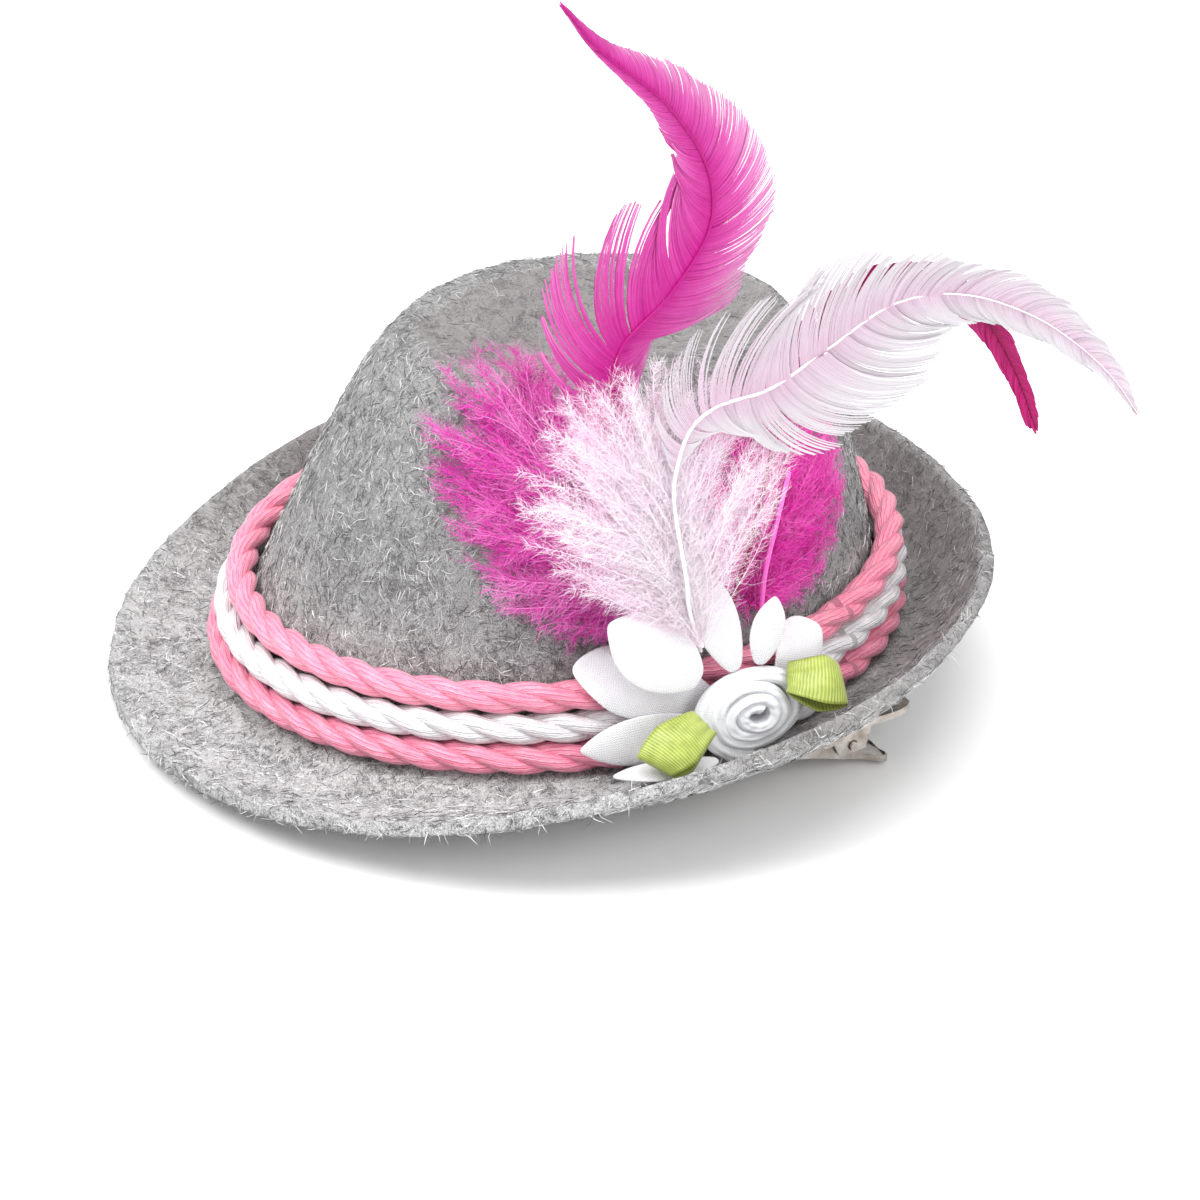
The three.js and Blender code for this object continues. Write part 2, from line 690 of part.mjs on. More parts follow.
// How far down the two rows of teeth meet, in a zigzag.
function bite(along) {
  const middle = lowerDown(along) / 2;
  if (along < toothStart || along > toothEnd) return middle;
  const phase = ((along - toothStart) / toothPitch) % 1;
  return middle + toothDepth * (0.5 - Math.abs(2 * phase - 1));
}

// One pressed jaw: a plate along the clip with a flange along each side of it.
function pressedJaw(stations) {
  const loops = stations.map(({ along, half, plate, edge }) => {
    const into = Math.sign(edge - plate) * clipSheet;
    const inner = half - clipSheet;
    return [
      onClip(along, -half, edge), onClip(along, -half, plate),
      onClip(along, half, plate), onClip(along, half, edge),
      onClip(along, inner, edge), onClip(along, inner, plate + into),
      onClip(along, -inner, plate + into), onClip(along, -inner, edge),
    ];
  });
  return skin(loops);
}

function jawStations(tail) {
  const stations = [0];
  for (let along = toothStart; along <= toothEnd; along += toothPitch / 2) stations.push(along);
  const ears = [-earReach - 0.8, -earReach + 0.4, -1.6, 1.6, earReach - 0.4, earReach + 0.8];
  stations.push(...ears.map((ear) => clipPivot + ear));
  const behind = clipPivot + earReach + 0.8;
  stations.push(...[0.3, 0.6, 0.85, 0.95, 1].map((share) => lerp(behind, tail, share)));
  return stations;
}

// A jaw's half width: narrow at the nose, flared behind its ears, round at the tail.
const noseStraight = 2; // how far the nose keeps its width
const flareEnd = 0.6; // share of the lever at which it is at its widest
const tailRound = { from: 0.8, loss: 0.35 }; // shares of the lever and of its width

function halfWidth(along, atEars, tail) {
  const widening = (along - noseStraight) / (clipPivot - earReach - 2 * noseStraight);
  const jaw = lerp(noseWidth, atEars, clamp(widening, 0, 1));
  if (along <= clipPivot + earReach) return jaw / 2;
  const lever = (along - clipPivot - earReach) / (tail - clipPivot - earReach);
  const flare = lerp(atEars, leverWidth, Math.min(1, lever / flareEnd));
  const rounding = Math.max(0, lever - tailRound.from) / (1 - tailRound.from);
  return (flare * (1 - tailRound.loss * rounding)) / 2;
}

function pinAlong(length, diameter) {
  const pin = new THREE.CylinderGeometry(diameter / 2, diameter / 2, length, 12);
  pin.applyQuaternion(new THREE.Quaternion().setFromUnitVectors(backwards, clipAcross));
  const seat = onClip(clipPivot, 0, pinDown);
  return pin.translate(seat.x, seat.y, seat.z);
}

const pinHole = () => pinAlong(earWidth * 2, pinDiameter + clearance);
const earEdge = 1.5; // from the pin's middle to the ears' far edges

function upperJaw() {
  const stations = jawStations(clipLength).map((along) => {
    const isEar = Math.abs(along - clipPivot) < earReach;
    let edge = along < clipPivot ? bite(along) - clearance / 2 : clipSheet + 0.7;
    if (isEar) edge = pinDown + earEdge;
    return { along, half: halfWidth(along, earWidth, clipLength), plate: 0, edge };
  });
  return cutAway(pressedJaw(stations), pinHole());
}

function lowerJaw() {
  const between = earWidth - 2 * clipSheet - 2 * clearance;
  const stations = jawStations(lowerTail).map((along) => {
    const plate = lowerDown(along);
    const isEar = Math.abs(along - clipPivot) < earReach - 1;
    let edge = along < clipPivot ? bite(along) + clearance / 2 : plate - clipSheet - 0.4;
    if (isEar) edge = pinDown - earEdge;
    return { along, half: halfWidth(along, between, lowerTail), plate, edge };
  });
  return cutAway(pressedJaw(stations), pinHole());
}

// The torsion spring: a coil round the pin, with a leg along each lever.
function clipSpring() {
  const radius = (coilDiameter - wireDiameter) / 2;
  const coilPitch = wireDiameter + 0.12;
  const steps = Math.round(coilTurns * 10);
  const leg = lowerLever * 0.6;
  const half = (coilTurns * coilPitch) / 2;
  const onCoil = (share) => {
    const angle = Math.PI / 2 - share * coilTurns * 2 * Math.PI;
    const along = clipPivot + radius * Math.cos(angle);
    return onClip(along, lerp(-half, half, share), pinDown + radius * Math.sin(angle));
  };
  const route = Array.from({ length: steps + 1 }, (_, i) => onCoil(i / steps));
  const legDrop = lowerDown(clipPivot + leg) - pivotHeight;
  route.unshift(route[0].clone().addScaledVector(clipAlong, leg));
  route[0].z -= legDrop;
  route.push(route.at(-1).clone().addScaledVector(clipAlong, leg));
  return wire(route, wireDiameter / 2, 6);
}

function wire(route, radius, sides) {
  const loops = route.map((point, i) => {
    const ahead = route[Math.min(i + 1, route.length - 1)].clone();
    const along = ahead.sub(route[Math.max(i - 1, 0)]).normalize();
    const side = clipAcross.clone().addScaledVector(along, -along.dot(clipAcross)).normalize();
    const out = new THREE.Vector3().crossVectors(along, side);
    const loop = [];
    for (let k = 0; k < sides; k++) {
      const a = (k / sides) * 2 * Math.PI;
      const spoke = side.clone().multiplyScalar(Math.cos(a)).addScaledVector(out, Math.sin(a));
      loop.push(point.clone().addScaledVector(spoke, radius));
    }
    return loop;
  });
  return skin(loops);
}

const hat = new THREE.Group();

function add(name, geometry, look) {
  const mesh = new THREE.Mesh(geometry, new THREE.MeshStandardMaterial(look));
  mesh.name = name;
  hat.add(mesh);
}

add("felt_body", feltBody(), feltGrey);
add("cord_lower", cordRing(0), pinkCord);
add("cord_middle", cordRing(1), whiteCord);
add("cord_upper", cordRing(2), pinkCord);
petals.forEach((row, i) => add(`petal_${i + 1}`, petal(row), petalCloth));
add("rose", ribbonRose(), roseSatin);
for (const [name, leaf] of Object.entries(leaves)) add(name, ribbonLeaf(leaf), leafSatin);
for (const [name, plume] of Object.entries(feathers)) {
  add(name, feather(plume), name === "feather_white" ? whiteFeather : magentaFeather);
}
for (const [name, down] of Object.entries(tufts)) {
  add(name, tuft(down), name === "down_white" ? paleDown : magentaDown);
}
add("clip_upper_jaw", upperJaw(), bareSteel);
add("clip_lower_jaw", lowerJaw(), bareSteel);
add("clip_pin", pinAlong(earWidth + 2 * pinEndLength, pinDiameter), bareSteel);
add("clip_spring", clipSpring(), bareSteel);

// The plane that carries the hat: it lies under every point and touches three round the middle.
function restingPlane(points, middle) {
  const away = (angle) => points.reduce((best, point) => {
    const reach = (p) => (p.x - middle.x) * Math.cos(angle) + (p.y - middle.y) * Math.sin(angle);
    return reach(point) > reach(best) ? point : best;
  });
  let feet = [away(0.5), away(0.5 + (2 * Math.PI) / 3), away(0.5 + (4 * Math.PI) / 3)];
  const side = (a, b, p) => (b.x - a.x) * (p.y - a.y) - (b.y - a.y) * (p.x - a.x);
  const holds = ([a, b, c]) => {
    const turns = [side(a, b, middle), side(b, c, middle), side(c, a, middle)].map(Math.sign);
    return Math.abs(turns[0] + turns[1] + turns[2]) === 3;
  };
  const under = new THREE.Plane();
  for (let round = 0; round < 100; round++) {
    under.setFromCoplanarPoints(...feet);
    if (under.normal.z < 0) under.negate();
    const lowest = points.reduce((best, p) =>
      (under.distanceToPoint(p) < under.distanceToPoint(best) ? p : best));
    if (under.distanceToPoint(lowest) > -1e-6) break;
    const swaps = [0, 1, 2].map((k) => feet.map((foot, i) => (i === k ? lowest : foot)));
    feet = swaps.find(holds) ?? feet;
  }
  return under;
}

const corners = hat.children.flatMap(({ geometry }) => {
  const { position } = geometry.attributes;
  return Array.from({ length: position.count }, (_, i) =>
    new THREE.Vector3().fromBufferAttribute(position, i));
});
const balance = new THREE.Vector3(12, 2, 0); // where the hat's weight acts
const table = restingPlane(corners, balance);
hat.quaternion.setFromUnitVectors(table.normal, new THREE.Vector3(0, 0, 1));

const part = new THREE.Group();
part.add(hat);
part.updateMatrixWorld(true);
const bounds = new THREE.Box3().setFromObject(part, true);
const middle = bounds.getCenter(new THREE.Vector3());
hat.position.set(-middle.x, -middle.y, -bounds.min.z);

export default part;
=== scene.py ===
import math

import bmesh
import bpy
import numpy as np
from mathutils import Matrix, Vector
from mathutils.bvhtree import BVHTree


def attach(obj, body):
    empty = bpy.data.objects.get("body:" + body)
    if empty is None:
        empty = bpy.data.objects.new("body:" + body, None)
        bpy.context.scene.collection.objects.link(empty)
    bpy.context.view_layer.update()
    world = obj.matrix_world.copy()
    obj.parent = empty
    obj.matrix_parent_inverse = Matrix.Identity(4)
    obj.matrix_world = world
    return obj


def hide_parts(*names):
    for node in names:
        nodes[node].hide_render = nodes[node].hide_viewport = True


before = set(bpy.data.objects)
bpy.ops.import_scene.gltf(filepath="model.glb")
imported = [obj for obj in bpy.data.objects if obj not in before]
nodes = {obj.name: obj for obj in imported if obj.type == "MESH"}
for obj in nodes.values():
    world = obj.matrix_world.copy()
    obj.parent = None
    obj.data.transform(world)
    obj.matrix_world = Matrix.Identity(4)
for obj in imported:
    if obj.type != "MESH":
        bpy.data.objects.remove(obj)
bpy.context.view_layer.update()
print("frame loaded,", len(nodes), "nodes")


# ---- the hat's own level frame, in millimetres, from its lowest cord, which lies flat round it
def levelFrame():
    ring = np.array([v.co for v in nodes["cord_lower"].data.vertices])
    up = Vector(np.linalg.svd(ring - ring.mean(0), full_matrices=False)[2][2])
    up = up if up.z > 0 else -up
    tip = Vector((0, 0, 1)).rotation_difference(up).to_matrix()
    flat = ring @ np.array(tip)  # turned back to level
    widest = flat[[flat[:, 0].argmin(), flat[:, 0].argmax()]].mean(0)
    low = flat[:, 2].min() - 0.0031  # its underside is this far over the foot's lower face
    origin = tip @ Vector((widest[0], widest[1], low))
    return Matrix.Translation(origin) @ tip.to_4x4() @ Matrix.Scale(0.001, 4)


toWorld = levelFrame()
toLevel = toWorld.inverted()


def mapped(points, matrix):
    m = np.array(matrix)
    return np.asarray(points) @ m[:3, :3].T + m[:3, 3]


def levelPoints(name):
    return mapped([v.co for v in nodes[name].data.vertices], toLevel)


def smooth(path, count):  # an even run of points on a curve through the given ones
    p = np.asarray(path, float)
    p = np.vstack([2 * p[0] - p[1], p, 2 * p[-1] - p[-2]])
    knots = np.concatenate([[0], np.cumsum(np.sqrt(np.linalg.norm(np.diff(p, axis=0), axis=1)))])
    dense = []
    for i in range(1, len(p) - 2):
        t = np.linspace(knots[i], knots[i + 1], 24, endpoint=i == len(p) - 3)[:, None]
        k = knots[i - 1:i + 3]
        mix = lambda a, b, c, d: (b - t) / (b - a) * c + (t - a) / (b - a) * d
        a = [mix(k[j], k[j + 1], p[i - 1 + j], p[i + j]) for j in range(3)]
        b = [mix(k[0], k[2], a[0], a[1]), mix(k[1], k[3], a[1], a[2])]
        dense.append(mix(k[1], k[2], b[0], b[1]))
    dense = np.vstack(dense)
    run = np.concatenate([[0], np.cumsum(np.linalg.norm(np.diff(dense, axis=0), axis=1))])
    at = np.linspace(0, run[-1], count)
    return np.stack([np.interp(at, run, dense[:, i]) for i in range(p.shape[1])], 1)


# ---- materials: Link lets sums be written on sockets, Finish adds the nodes
class Link:
    def __init__(self, finish, socket):
        self.finish, self.socket = finish, socket

    def maths(self, operation, *terms):
        return self.finish.node("Math", {"operation": operation}, *terms)

    def __add__(self, other):
        return self.maths("ADD", self, other)

    def __sub__(self, other):
        return self.maths("SUBTRACT", self, other)

    def __rsub__(self, other):
        return self.maths("SUBTRACT", other, self)

    def __mul__(self, other):
        return self.maths("MULTIPLY", self, other)

    def __truediv__(self, other):
        return self.maths("DIVIDE", self, other)

    def __pow__(self, other):
        return self.maths("POWER", self, other)

    __radd__, __rmul__ = __add__, __mul__

    def held(self):  # between 0 and 1
        return self.finish.node("Clamp", {}, self)

    def size(self):
        return self.maths("ABSOLUTE", self)

    def sine(self):
        return self.maths("SINE", self)


class Finish:
    def __init__(self, name, **constants):
        self.material = bpy.data.materials.new(name)
        self.material.use_nodes = True
        self.tree = self.material.node_tree
        self.tree.nodes.clear()
        self.shader = self.tree.nodes.new("ShaderNodeBsdfPrincipled")
        self.output = self.tree.nodes.new("ShaderNodeOutputMaterial")
        self.tree.links.new(self.shader.outputs[0], self.output.inputs[0])
        for socket, value in constants.items():
            self.shader.inputs[socket.replace("_", " ")].default_value = value

    def node(self, kind, settings, *values, output=0, **named):
        made = self.tree.nodes.new("ShaderNode" + kind)
        for key, value in settings.items():
            if key == "stops":
                while len(made.color_ramp.elements) < len(value):
                    made.color_ramp.elements.new(1)
                for stop, (at, colour) in zip(made.color_ramp.elements, value):
                    stop.position, stop.color = at, (*colour, 1)
            else:
                setattr(made, key, value)
        sockets = [(made.inputs[i], v) for i, v in enumerate(values)]
        sockets += [(made.inputs[key.replace("_", " ")], v) for key, v in named.items()]
        for socket, value in sockets:
            self.plug(socket, value)
        return Link(self, made.outputs[output])

    def plug(self, socket, value):
        if isinstance(value, Link):
            self.tree.links.new(value.socket, socket)
        elif socket.type == "RGBA" and len(value) == 3:
            socket.default_value = (*value, 1)
        else:
            socket.default_value = value

    def place(self):  # object coordinates in millimetres
        where = self.node("TexCoord", {}, output=3)
        return self.node("Mapping", {}, where, Scale=(1000,) * 3)

    def clothPlace(self):  # along and across the cloth, in millimetres
        where = self.node("UVMap", {"uv_map": "cloth"})
        return [self.node("SeparateXYZ", {}, where, output=i) for i in (0, 1)]

    def attribute(self, name, output=2):
        return self.node("Attribute", {"attribute_name": name}, output=output)

    def noise(self, vector, scale, detail=3.0, rough=0.5, distortion=0.0):
        return self.node("TexNoise", {}, Vector=vector, Scale=scale, Detail=detail,
                         Roughness=rough, Distortion=distortion)

    def blend(self, share, first, second):
        made = self.tree.nodes.new("ShaderNodeMix")
        made.data_type = "RGBA"
        for i, value in ((0, share), (6, first), (7, second)):
            self.plug(made.inputs[i], value)
        return Link(self, made.outputs[2])

    def ramp(self, value, *stops):
        return self.node("ValToRGB", {"stops": stops}, value)

    def bump(self, height, distance, strength):
        return self.node("Bump", {}, Height=height, Distance=distance, Strength=strength)

    def paint(self, **sockets):
        for socket, value in sockets.items():
            self.plug(self.shader.inputs[socket.replace("_", " ")], value)
        return self.material


# ---- pieces
def finished(name, mesh, material, body, replaced=()):
    piece = bpy.data.objects.new(name, mesh)
    bpy.context.scene.collection.objects.link(piece)
    mesh.materials.clear()
    mesh.materials.append(material)
    mesh.polygons.foreach_set("use_smooth", [True] * len(mesh.polygons))
    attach(piece, body)
    if replaced:
        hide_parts(*replaced)
    mesh.calc_loop_triangles()
    print(f"{name}: {len(mesh.loop_triangles)} triangles")
    return piece


def levelCopy(name):  # a CAD node's merged shape, level and in millimetres
    bm = bmesh.new()
    bm.from_mesh(nodes[name].data)
    bmesh.ops.remove_doubles(bm, verts=bm.verts, dist=1e-6)
    bmesh.ops.join_triangles(bm, faces=bm.faces, angle_face_threshold=0.7,
                             angle_shape_threshold=1.5)
    bmesh.ops.transform(bm, matrix=toLevel, verts=bm.verts)
    return bm


def toMesh(bm, name, subdivisions=0):
    mesh = bpy.data.meshes.new(name)
    bm.to_mesh(mesh)
    bm.free()
    return refined(mesh, subdivisions) if subdivisions else mesh


def evaluated(mesh, addModifiers):
    holder = bpy.data.objects.new("holder", mesh)
    bpy.context.scene.collection.objects.link(holder)
    addModifiers(holder)
    bpy.context.view_layer.update()
    graph = bpy.context.evaluated_depsgraph_get()
    made = bpy.data.meshes.new_from_object(holder.evaluated_get(graph))
    name = mesh.name
    bpy.data.objects.remove(holder)
    bpy.data.meshes.remove(mesh)
    made.name = name
    return made


def refined(mesh, levels):
    def add(holder):
        subdivide = holder.modifiers.new("subdivide", "SUBSURF")
        subdivide.levels = subdivide.render_levels = levels
    return evaluated(mesh, add)


def reshape(mesh, move):  # move takes the points as rows and gives their new places
    points = np.zeros(len(mesh.vertices) * 3)
    mesh.vertices.foreach_get("co", points)
    mesh.vertices.foreach_set("co", np.asarray(move(points.reshape(-1, 3))).ravel())
    mesh.update()
    return mesh


def mark(mesh, key, values):  # a value at each point, for the finish to read
    layer = mesh.attributes.new(key, "FLOAT", "POINT")
    layer.data.foreach_set("value", values.astype(np.float32))


def clothMap(mesh, flat):  # flat: each point's place on the cloth, in millimetres
    corners = np.zeros(len(mesh.loops), int)
    mesh.loops.foreach_get("vertex_index", corners)
    mesh.uv_layers.new(name="cloth").data.foreach_set("uv", flat[corners].ravel())


def placed(mesh):  # from the level frame to where the hat stands
    return reshape(mesh, lambda points: mapped(points, toWorld))


# ---- strands: lines with a girth at each point, swept with a small profile
def strandTree(sides):
    tree = bpy.data.node_groups.new("strands", "GeometryNodeTree")
    tree.interface.new_socket("Geometry", in_out="INPUT", socket_type="NodeSocketGeometry")
    tree.interface.new_socket("Geometry", in_out="OUTPUT", socket_type="NodeSocketGeometry")

    def add(kind, settings=None, **values):
        made = tree.nodes.new(kind)
        for key, value in (settings or {}).items():
            setattr(made, key, value)
        for key, value in values.items():
            socket = made.inputs[key.replace("_", " ")]
            if isinstance(value, bpy.types.NodeSocket):
                tree.links.new(value, socket)
            else:
                socket.default_value = value
        return made

    def stored(name):
        return add("GeometryNodeInputNamedAttribute", {"data_type": "FLOAT"}, Name=name).outputs[0]

    start = add("NodeGroupInput")
    line = add("GeometryNodeMeshToCurve", Mesh=start.outputs[0])
    level = add("GeometryNodeSetCurveNormal", {"mode": "Z_UP"}, Curve=line.outputs[0])
    rolled = add("GeometryNodeSetCurveTilt", Curve=level.outputs[0], Tilt=stored("roll"))
    if sides == 2:  # a flat blade
        ring = add("GeometryNodeCurvePrimitiveLine", Start=(-1, 0, 0), End=(1, 0, 0))
    else:
        ring = add("GeometryNodeCurvePrimitiveCircle", Resolution=sides, Radius=1.0)
    marked = add("GeometryNodeStoreNamedAttribute",
                 {"data_type": "FLOAT_VECTOR", "domain": "POINT"},
                 Geometry=ring.outputs[0], Name="side", Value=add("GeometryNodeInputPosition").outputs[0])
    swept = add("GeometryNodeCurveToMesh", Curve=rolled.outputs[0], Scale=stored("girth"),
                Profile_Curve=marked.outputs[0], Fill_Caps=sides > 2)
    end = add("NodeGroupOutput")
    tree.links.new(swept.outputs[0], end.inputs[0])
    return tree


def strands(name, bundles, sides=2, closed=False):
    # a bundle: n lines of k points (n, k, 3), their girth, their tone and how far they roll
    values = {"girth": [], "tone": [], "roll": [], "along": []}
    points, edges, start = [], [], 0
    for path, girth, tone, roll in bundles:
        n, k = path.shape[:2]
        ids = start + np.arange(n * k).reshape(n, k)
        edges.append(np.stack([ids[:, :-1], ids[:, 1:]], -1).reshape(-1, 2))
        if closed:
            edges.append(np.stack([ids[:, -1], ids[:, 0]], -1))
        points.append(path.reshape(-1, 3))
        rows = {"girth": girth, "tone": np.reshape(tone, (-1, 1)), "roll": np.reshape(roll, (-1, 1)),
                "along": np.linspace(0, 1, k)}
        for key, row in rows.items():
            values[key].append(np.broadcast_to(row, (n, k)).ravel())
        start += n * k
    mesh = bpy.data.meshes.new(name)
    mesh.from_pydata(np.concatenate(points), np.concatenate(edges).tolist(), [])
    for key, rows in values.items():
        mark(mesh, key, np.concatenate(rows))
    tree = strandTree(sides)
    made = evaluated(mesh, lambda holder: setattr(
        holder.modifiers.new("sweep", "NODES"), "node_group", tree))
    bpy.data.node_groups.remove(tree)
    return made


# ---- sheets: a flat grid that is shaped by its length and width shares, with its own cloth map
def sheet(name, size, cells, shape, thickness):
    bm = bmesh.new()
    bmesh.ops.create_grid(bm, x_segments=cells[0], y_segments=cells[1], size=0.5, calc_uvs=False)
    mesh = toMesh(bm, name)
    shares = np.zeros(len(mesh.vertices) * 3)
    mesh.vertices.foreach_get("co", shares)
    shares = shares.reshape(-1, 3)[:, :2] + 0.5
    clothMap(mesh, shares * size)
    reshape(mesh, lambda points: shape(shares[:, 0], shares[:, 1]))

    def thicken(holder):
        wall = holder.modifiers.new("wall", "SOLIDIFY")
        wall.thickness, wall.offset = thickness, 0
    return evaluated(mesh, thicken)


# ---- felt: pressed body, brushed fibres
felt = {
    "unevenness": 0.3,  # mm, of the pressed surface
    "fibres": 46000,
    "fibreLength": (0.8, 2.8),
    "fibreGirth": 0.055,
    "light": (0.86, 0.86, 0.86),
    "middle": (0.46, 0.46, 0.458),
    "dark": (0.115, 0.112, 0.114),
    "shaded": (0.34, 0.30, 0.293),  # painted shade, a little brown, for the brim's inner side and the crown's hollow
    "crownHalf": (49.5, 59),  # mm, half the crown's foot across and along
}


def feltFinish():
    finish = Finish("greyFelt", Roughness=0.95, Specular_IOR_Level=0.12,
                    Sheen_Weight=0.2, Sheen_Roughness=0.6)
    where = finish.place()
    clumps = finish.noise(where, 0.11, 3.0, 0.6)
    mottle = finish.noise(where, 0.42, 4.0, 0.65, 0.8)
    speck = finish.noise(where, 1.5, 3.0, 0.7, 1.6)
    fine = finish.noise(where, 3.1, 2.0, 0.7, 2.0)

    def threads(scale, width, distortion):  # thin winding lines, where a noise passes its middle
        lines = finish.noise(where, scale, 1.5, 0.5, distortion)
        return (1 - (lines - 0.5).size() / width).held()

    pale = threads(0.9, 0.03, 2.2) + threads(1.7, 0.04, 2.8) * 0.8
    dark = threads(1.2, 0.035, 2.6) + threads(2.1, 0.04, 3.0) * 0.7
    tone = clumps * 0.45 + mottle * 0.8 + speck * 0.85 + fine * 0.6 - 0.86
    colour = finish.ramp(tone, (0.31, felt["dark"]), (0.43, felt["middle"]), (0.54, felt["light"]))
    colour = finish.blend((pale * 0.6).held(), colour, (0.88, 0.88, 0.88))
    colour = finish.blend((dark * 0.85).held(), colour, (0.075, 0.07, 0.073))
    # painted shade: the crown's walls darkened, and the brim's inner side and the crown's hollow turned to a
    # browner dark
    colour = finish.blend(finish.attribute("wall") * 0.48, colour, felt["dark"])
    shaded = finish.blend(tone.held(), felt["dark"], felt["shaded"])
    colour = finish.blend(finish.attribute("shade") * 0.7, colour, shaded)
    height = mottle * 0.5 + speck * 0.5 + pale * 0.3 - dark * 0.35
    return finish.paint(Base_Color=colour, Normal=finish.bump(height, 0.0005, 0.8))


def fibreFinish():
    finish = Finish("feltFibre", Roughness=0.85, Specular_IOR_Level=0.15)
    tone, shade = finish.attribute("tone"), finish.attribute("shade")
    colour = finish.ramp(tone, (0.0, (0.04, 0.04, 0.042)), (0.38, (0.14, 0.138, 0.14)),
                         (0.5, (0.62, 0.62, 0.62)), (1.0, (0.9, 0.9, 0.9)))
    # painted shade: fibres darker and browner where the body's painted shade lies
    return finish.paint(Base_Color=finish.blend(shade * 0.5, colour, (0.16, 0.135, 0.13)))


def crownReach(points):  # 1 on the crown's foot, less inside it
    across, along = felt["crownHalf"]
    return np.hypot(points[:, 0] / across, points[:, 1] / along)


def shadeAt(points):  # how much painted shade: 1 on the brim's inner side, towards the back and on the far side
    back, up = points[:, 1], points[:, 2]
    reach = crownReach(points)
    far = np.clip((-points[:, 0] - 12) / 20, 0, 1) * np.clip((back + 60) / 30, 0, 1)
    turned = np.maximum(np.clip((back + 12) / 30, 0, 1), far) * np.clip((reach - 1.02) / 0.12, 0, 1)
    return turned * np.clip((18.4 - up) / 4, 0, 1)


def feltBody():
    bm = levelCopy("felt_body")
    crease = bm.edges.layers.float.new("crease_edge")
    for edge in bm.edges:
        if len(edge.link_faces) == 2 and edge.calc_face_angle(0) > 0.9:
            edge[crease] = 0.75  # keeps the cut edge of the brim square
    mesh = toMesh(bm, "felt_hat", 2)
    normals = np.array([v.normal for v in mesh.vertices])
    points = np.array([v.co for v in mesh.vertices])
    waves = sum(np.sin(points @ np.array(k) + phase) for k, phase in (
        ((0.31, 0.17, 0.23), 0.4), ((-0.19, 0.36, 0.12), 2.1), ((0.11, -0.21, 0.41), 4.0),
        ((0.83, 0.42, -0.37), 1.3), ((-0.55, 0.71, 0.62), 5.2)))
    reshape(mesh, lambda p: p + normals * (waves / 5 * felt["unevenness"])[:, None])
    within = (normals[:, :2] * points[:, :2]).sum(1) < 0  # faces the crown's axis
    underCrown = within & (crownReach(points) < 1.0)
    facingUp = normals[:, 2] > 0.05
    # painted shade: full inside the crown's hollow, shadeAt on the brim's inner side, faint elsewhere
    shade = np.where(underCrown, 1.0, np.where(facingUp, shadeAt(points), 0.1))
    wall = np.clip((points[:, 2] - 12) / 14, 0, 1) * ~within  # painted shade: the crown's walls made darker than the up-facing brim
    mark(mesh, "shade", shade)
    mark(mesh, "wall", wall)
    # the fibres get this painted shade, with half of the crown walls' painted darkening
    return mesh, np.maximum(shade, wall * 0.5)


def feltFibres(body, shade, rng):
    body.calc_loop_triangles()
    corners = np.array([t.vertices for t in body.loop_triangles])
    points = np.array([v.co for v in body.vertices])[corners]
    across = np.cross(points[:, 1] - points[:, 0], points[:, 2] - points[:, 0])
    area = np.linalg.norm(across, axis=1) / 2
    normal = across / (2 * area[:, None] + 1e-12)
    centre = points.mean(1)
    within = (normal[:, :2] * centre[:, :2]).sum(1) < 0
    hollow = within & (crownReach(centre) < 0.98)
    weight = area * np.where(hollow, 0.2, 1)  # fewer fibres inside the crown
    pick = rng.choice(len(area), felt["fibres"], p=weight / weight.sum())
    u, v = rng.random((2, len(pick), 1))
    u, v = np.where(u + v > 1, 1 - u, u), np.where(u + v > 1, 1 - v, v)
    a, b, c = points[pick].transpose(1, 0, 2)
    root, n = a + u * (b - a) + v * (c - a), normal[pick]
    # combed a little downwards and round, so they lie in soft streaks
    comb = np.stack([np.sin(root[:, 1] * 0.09), np.cos(root[:, 0] * 0.11), np.full(len(pick), -0.9)], 1)
    heading = np.cross(n, np.cross(comb * 0.8 + rng.normal(size=(len(pick), 3)), n))
    heading /= np.linalg.norm(heading, axis=1)[:, None]
    swerve = np.cross(n, heading) * rng.normal(0, 0.35, len(pick))[:, None]
    length = rng.uniform(*felt["fibreLength"], len(pick))[:, None]
    lift = rng.uniform(0.0, 0.28, len(pick))[:, None] ** 1.4
    path = np.stack([root + heading * length * share + swerve * length * share ** 2
                     + n * (sink + lift * length * share * (1.3 - 0.6 * share))
                     for share, sink in ((0, -0.03), (0.5, 0.06), (1, 0.02))], 1)
    tone = rng.beta(0.8, 0.75, len(pick))
    girth = felt["fibreGirth"] * rng.uniform(0.7, 1.3, (len(pick), 1)) * np.array([0.9, 1.0, 0.35])
    mesh = strands("felt_fibres", [(path, girth, tone, rng.uniform(0, np.pi, len(pick)))])
    # each fibre carries the body's painted shade from where it grows
    mark(mesh, "shade", np.repeat(shade[corners[pick, 0]], 6))  # a swept fibre has 3 x 2 points
    return mesh


rng = np.random.default_rng(7)
bodyMesh, bodyShade = feltBody()
fibreMesh = feltFibres(bodyMesh, bodyShade, rng)
finished("felt_hat", placed(bodyMesh), feltFinish(), "hat", ["felt_body"])
finished("felt_fibres", placed(fibreMesh), fibreFinish(), "hat")
print("felt done")

# ---- cords: three satin strands laid round each other
cord = {
    "strands": 3,
    "lay": 24.0,  # mm of cord for one turn of a strand
    "strandRadius": 0.6,  # share of the cord's radius
    "offset": 0.52,
    "pointsPerTurn": 20,
    "start": 2.2,  # where the closed ring's first point lies, in radians from the front
    "pink": (0.97, 0.38, 0.50),
    "pinkShade": (0.84, 0.15, 0.29),
    "white": (0.93, 0.92, 0.93),
    "whiteShade": (0.62, 0.60, 0.63),
}


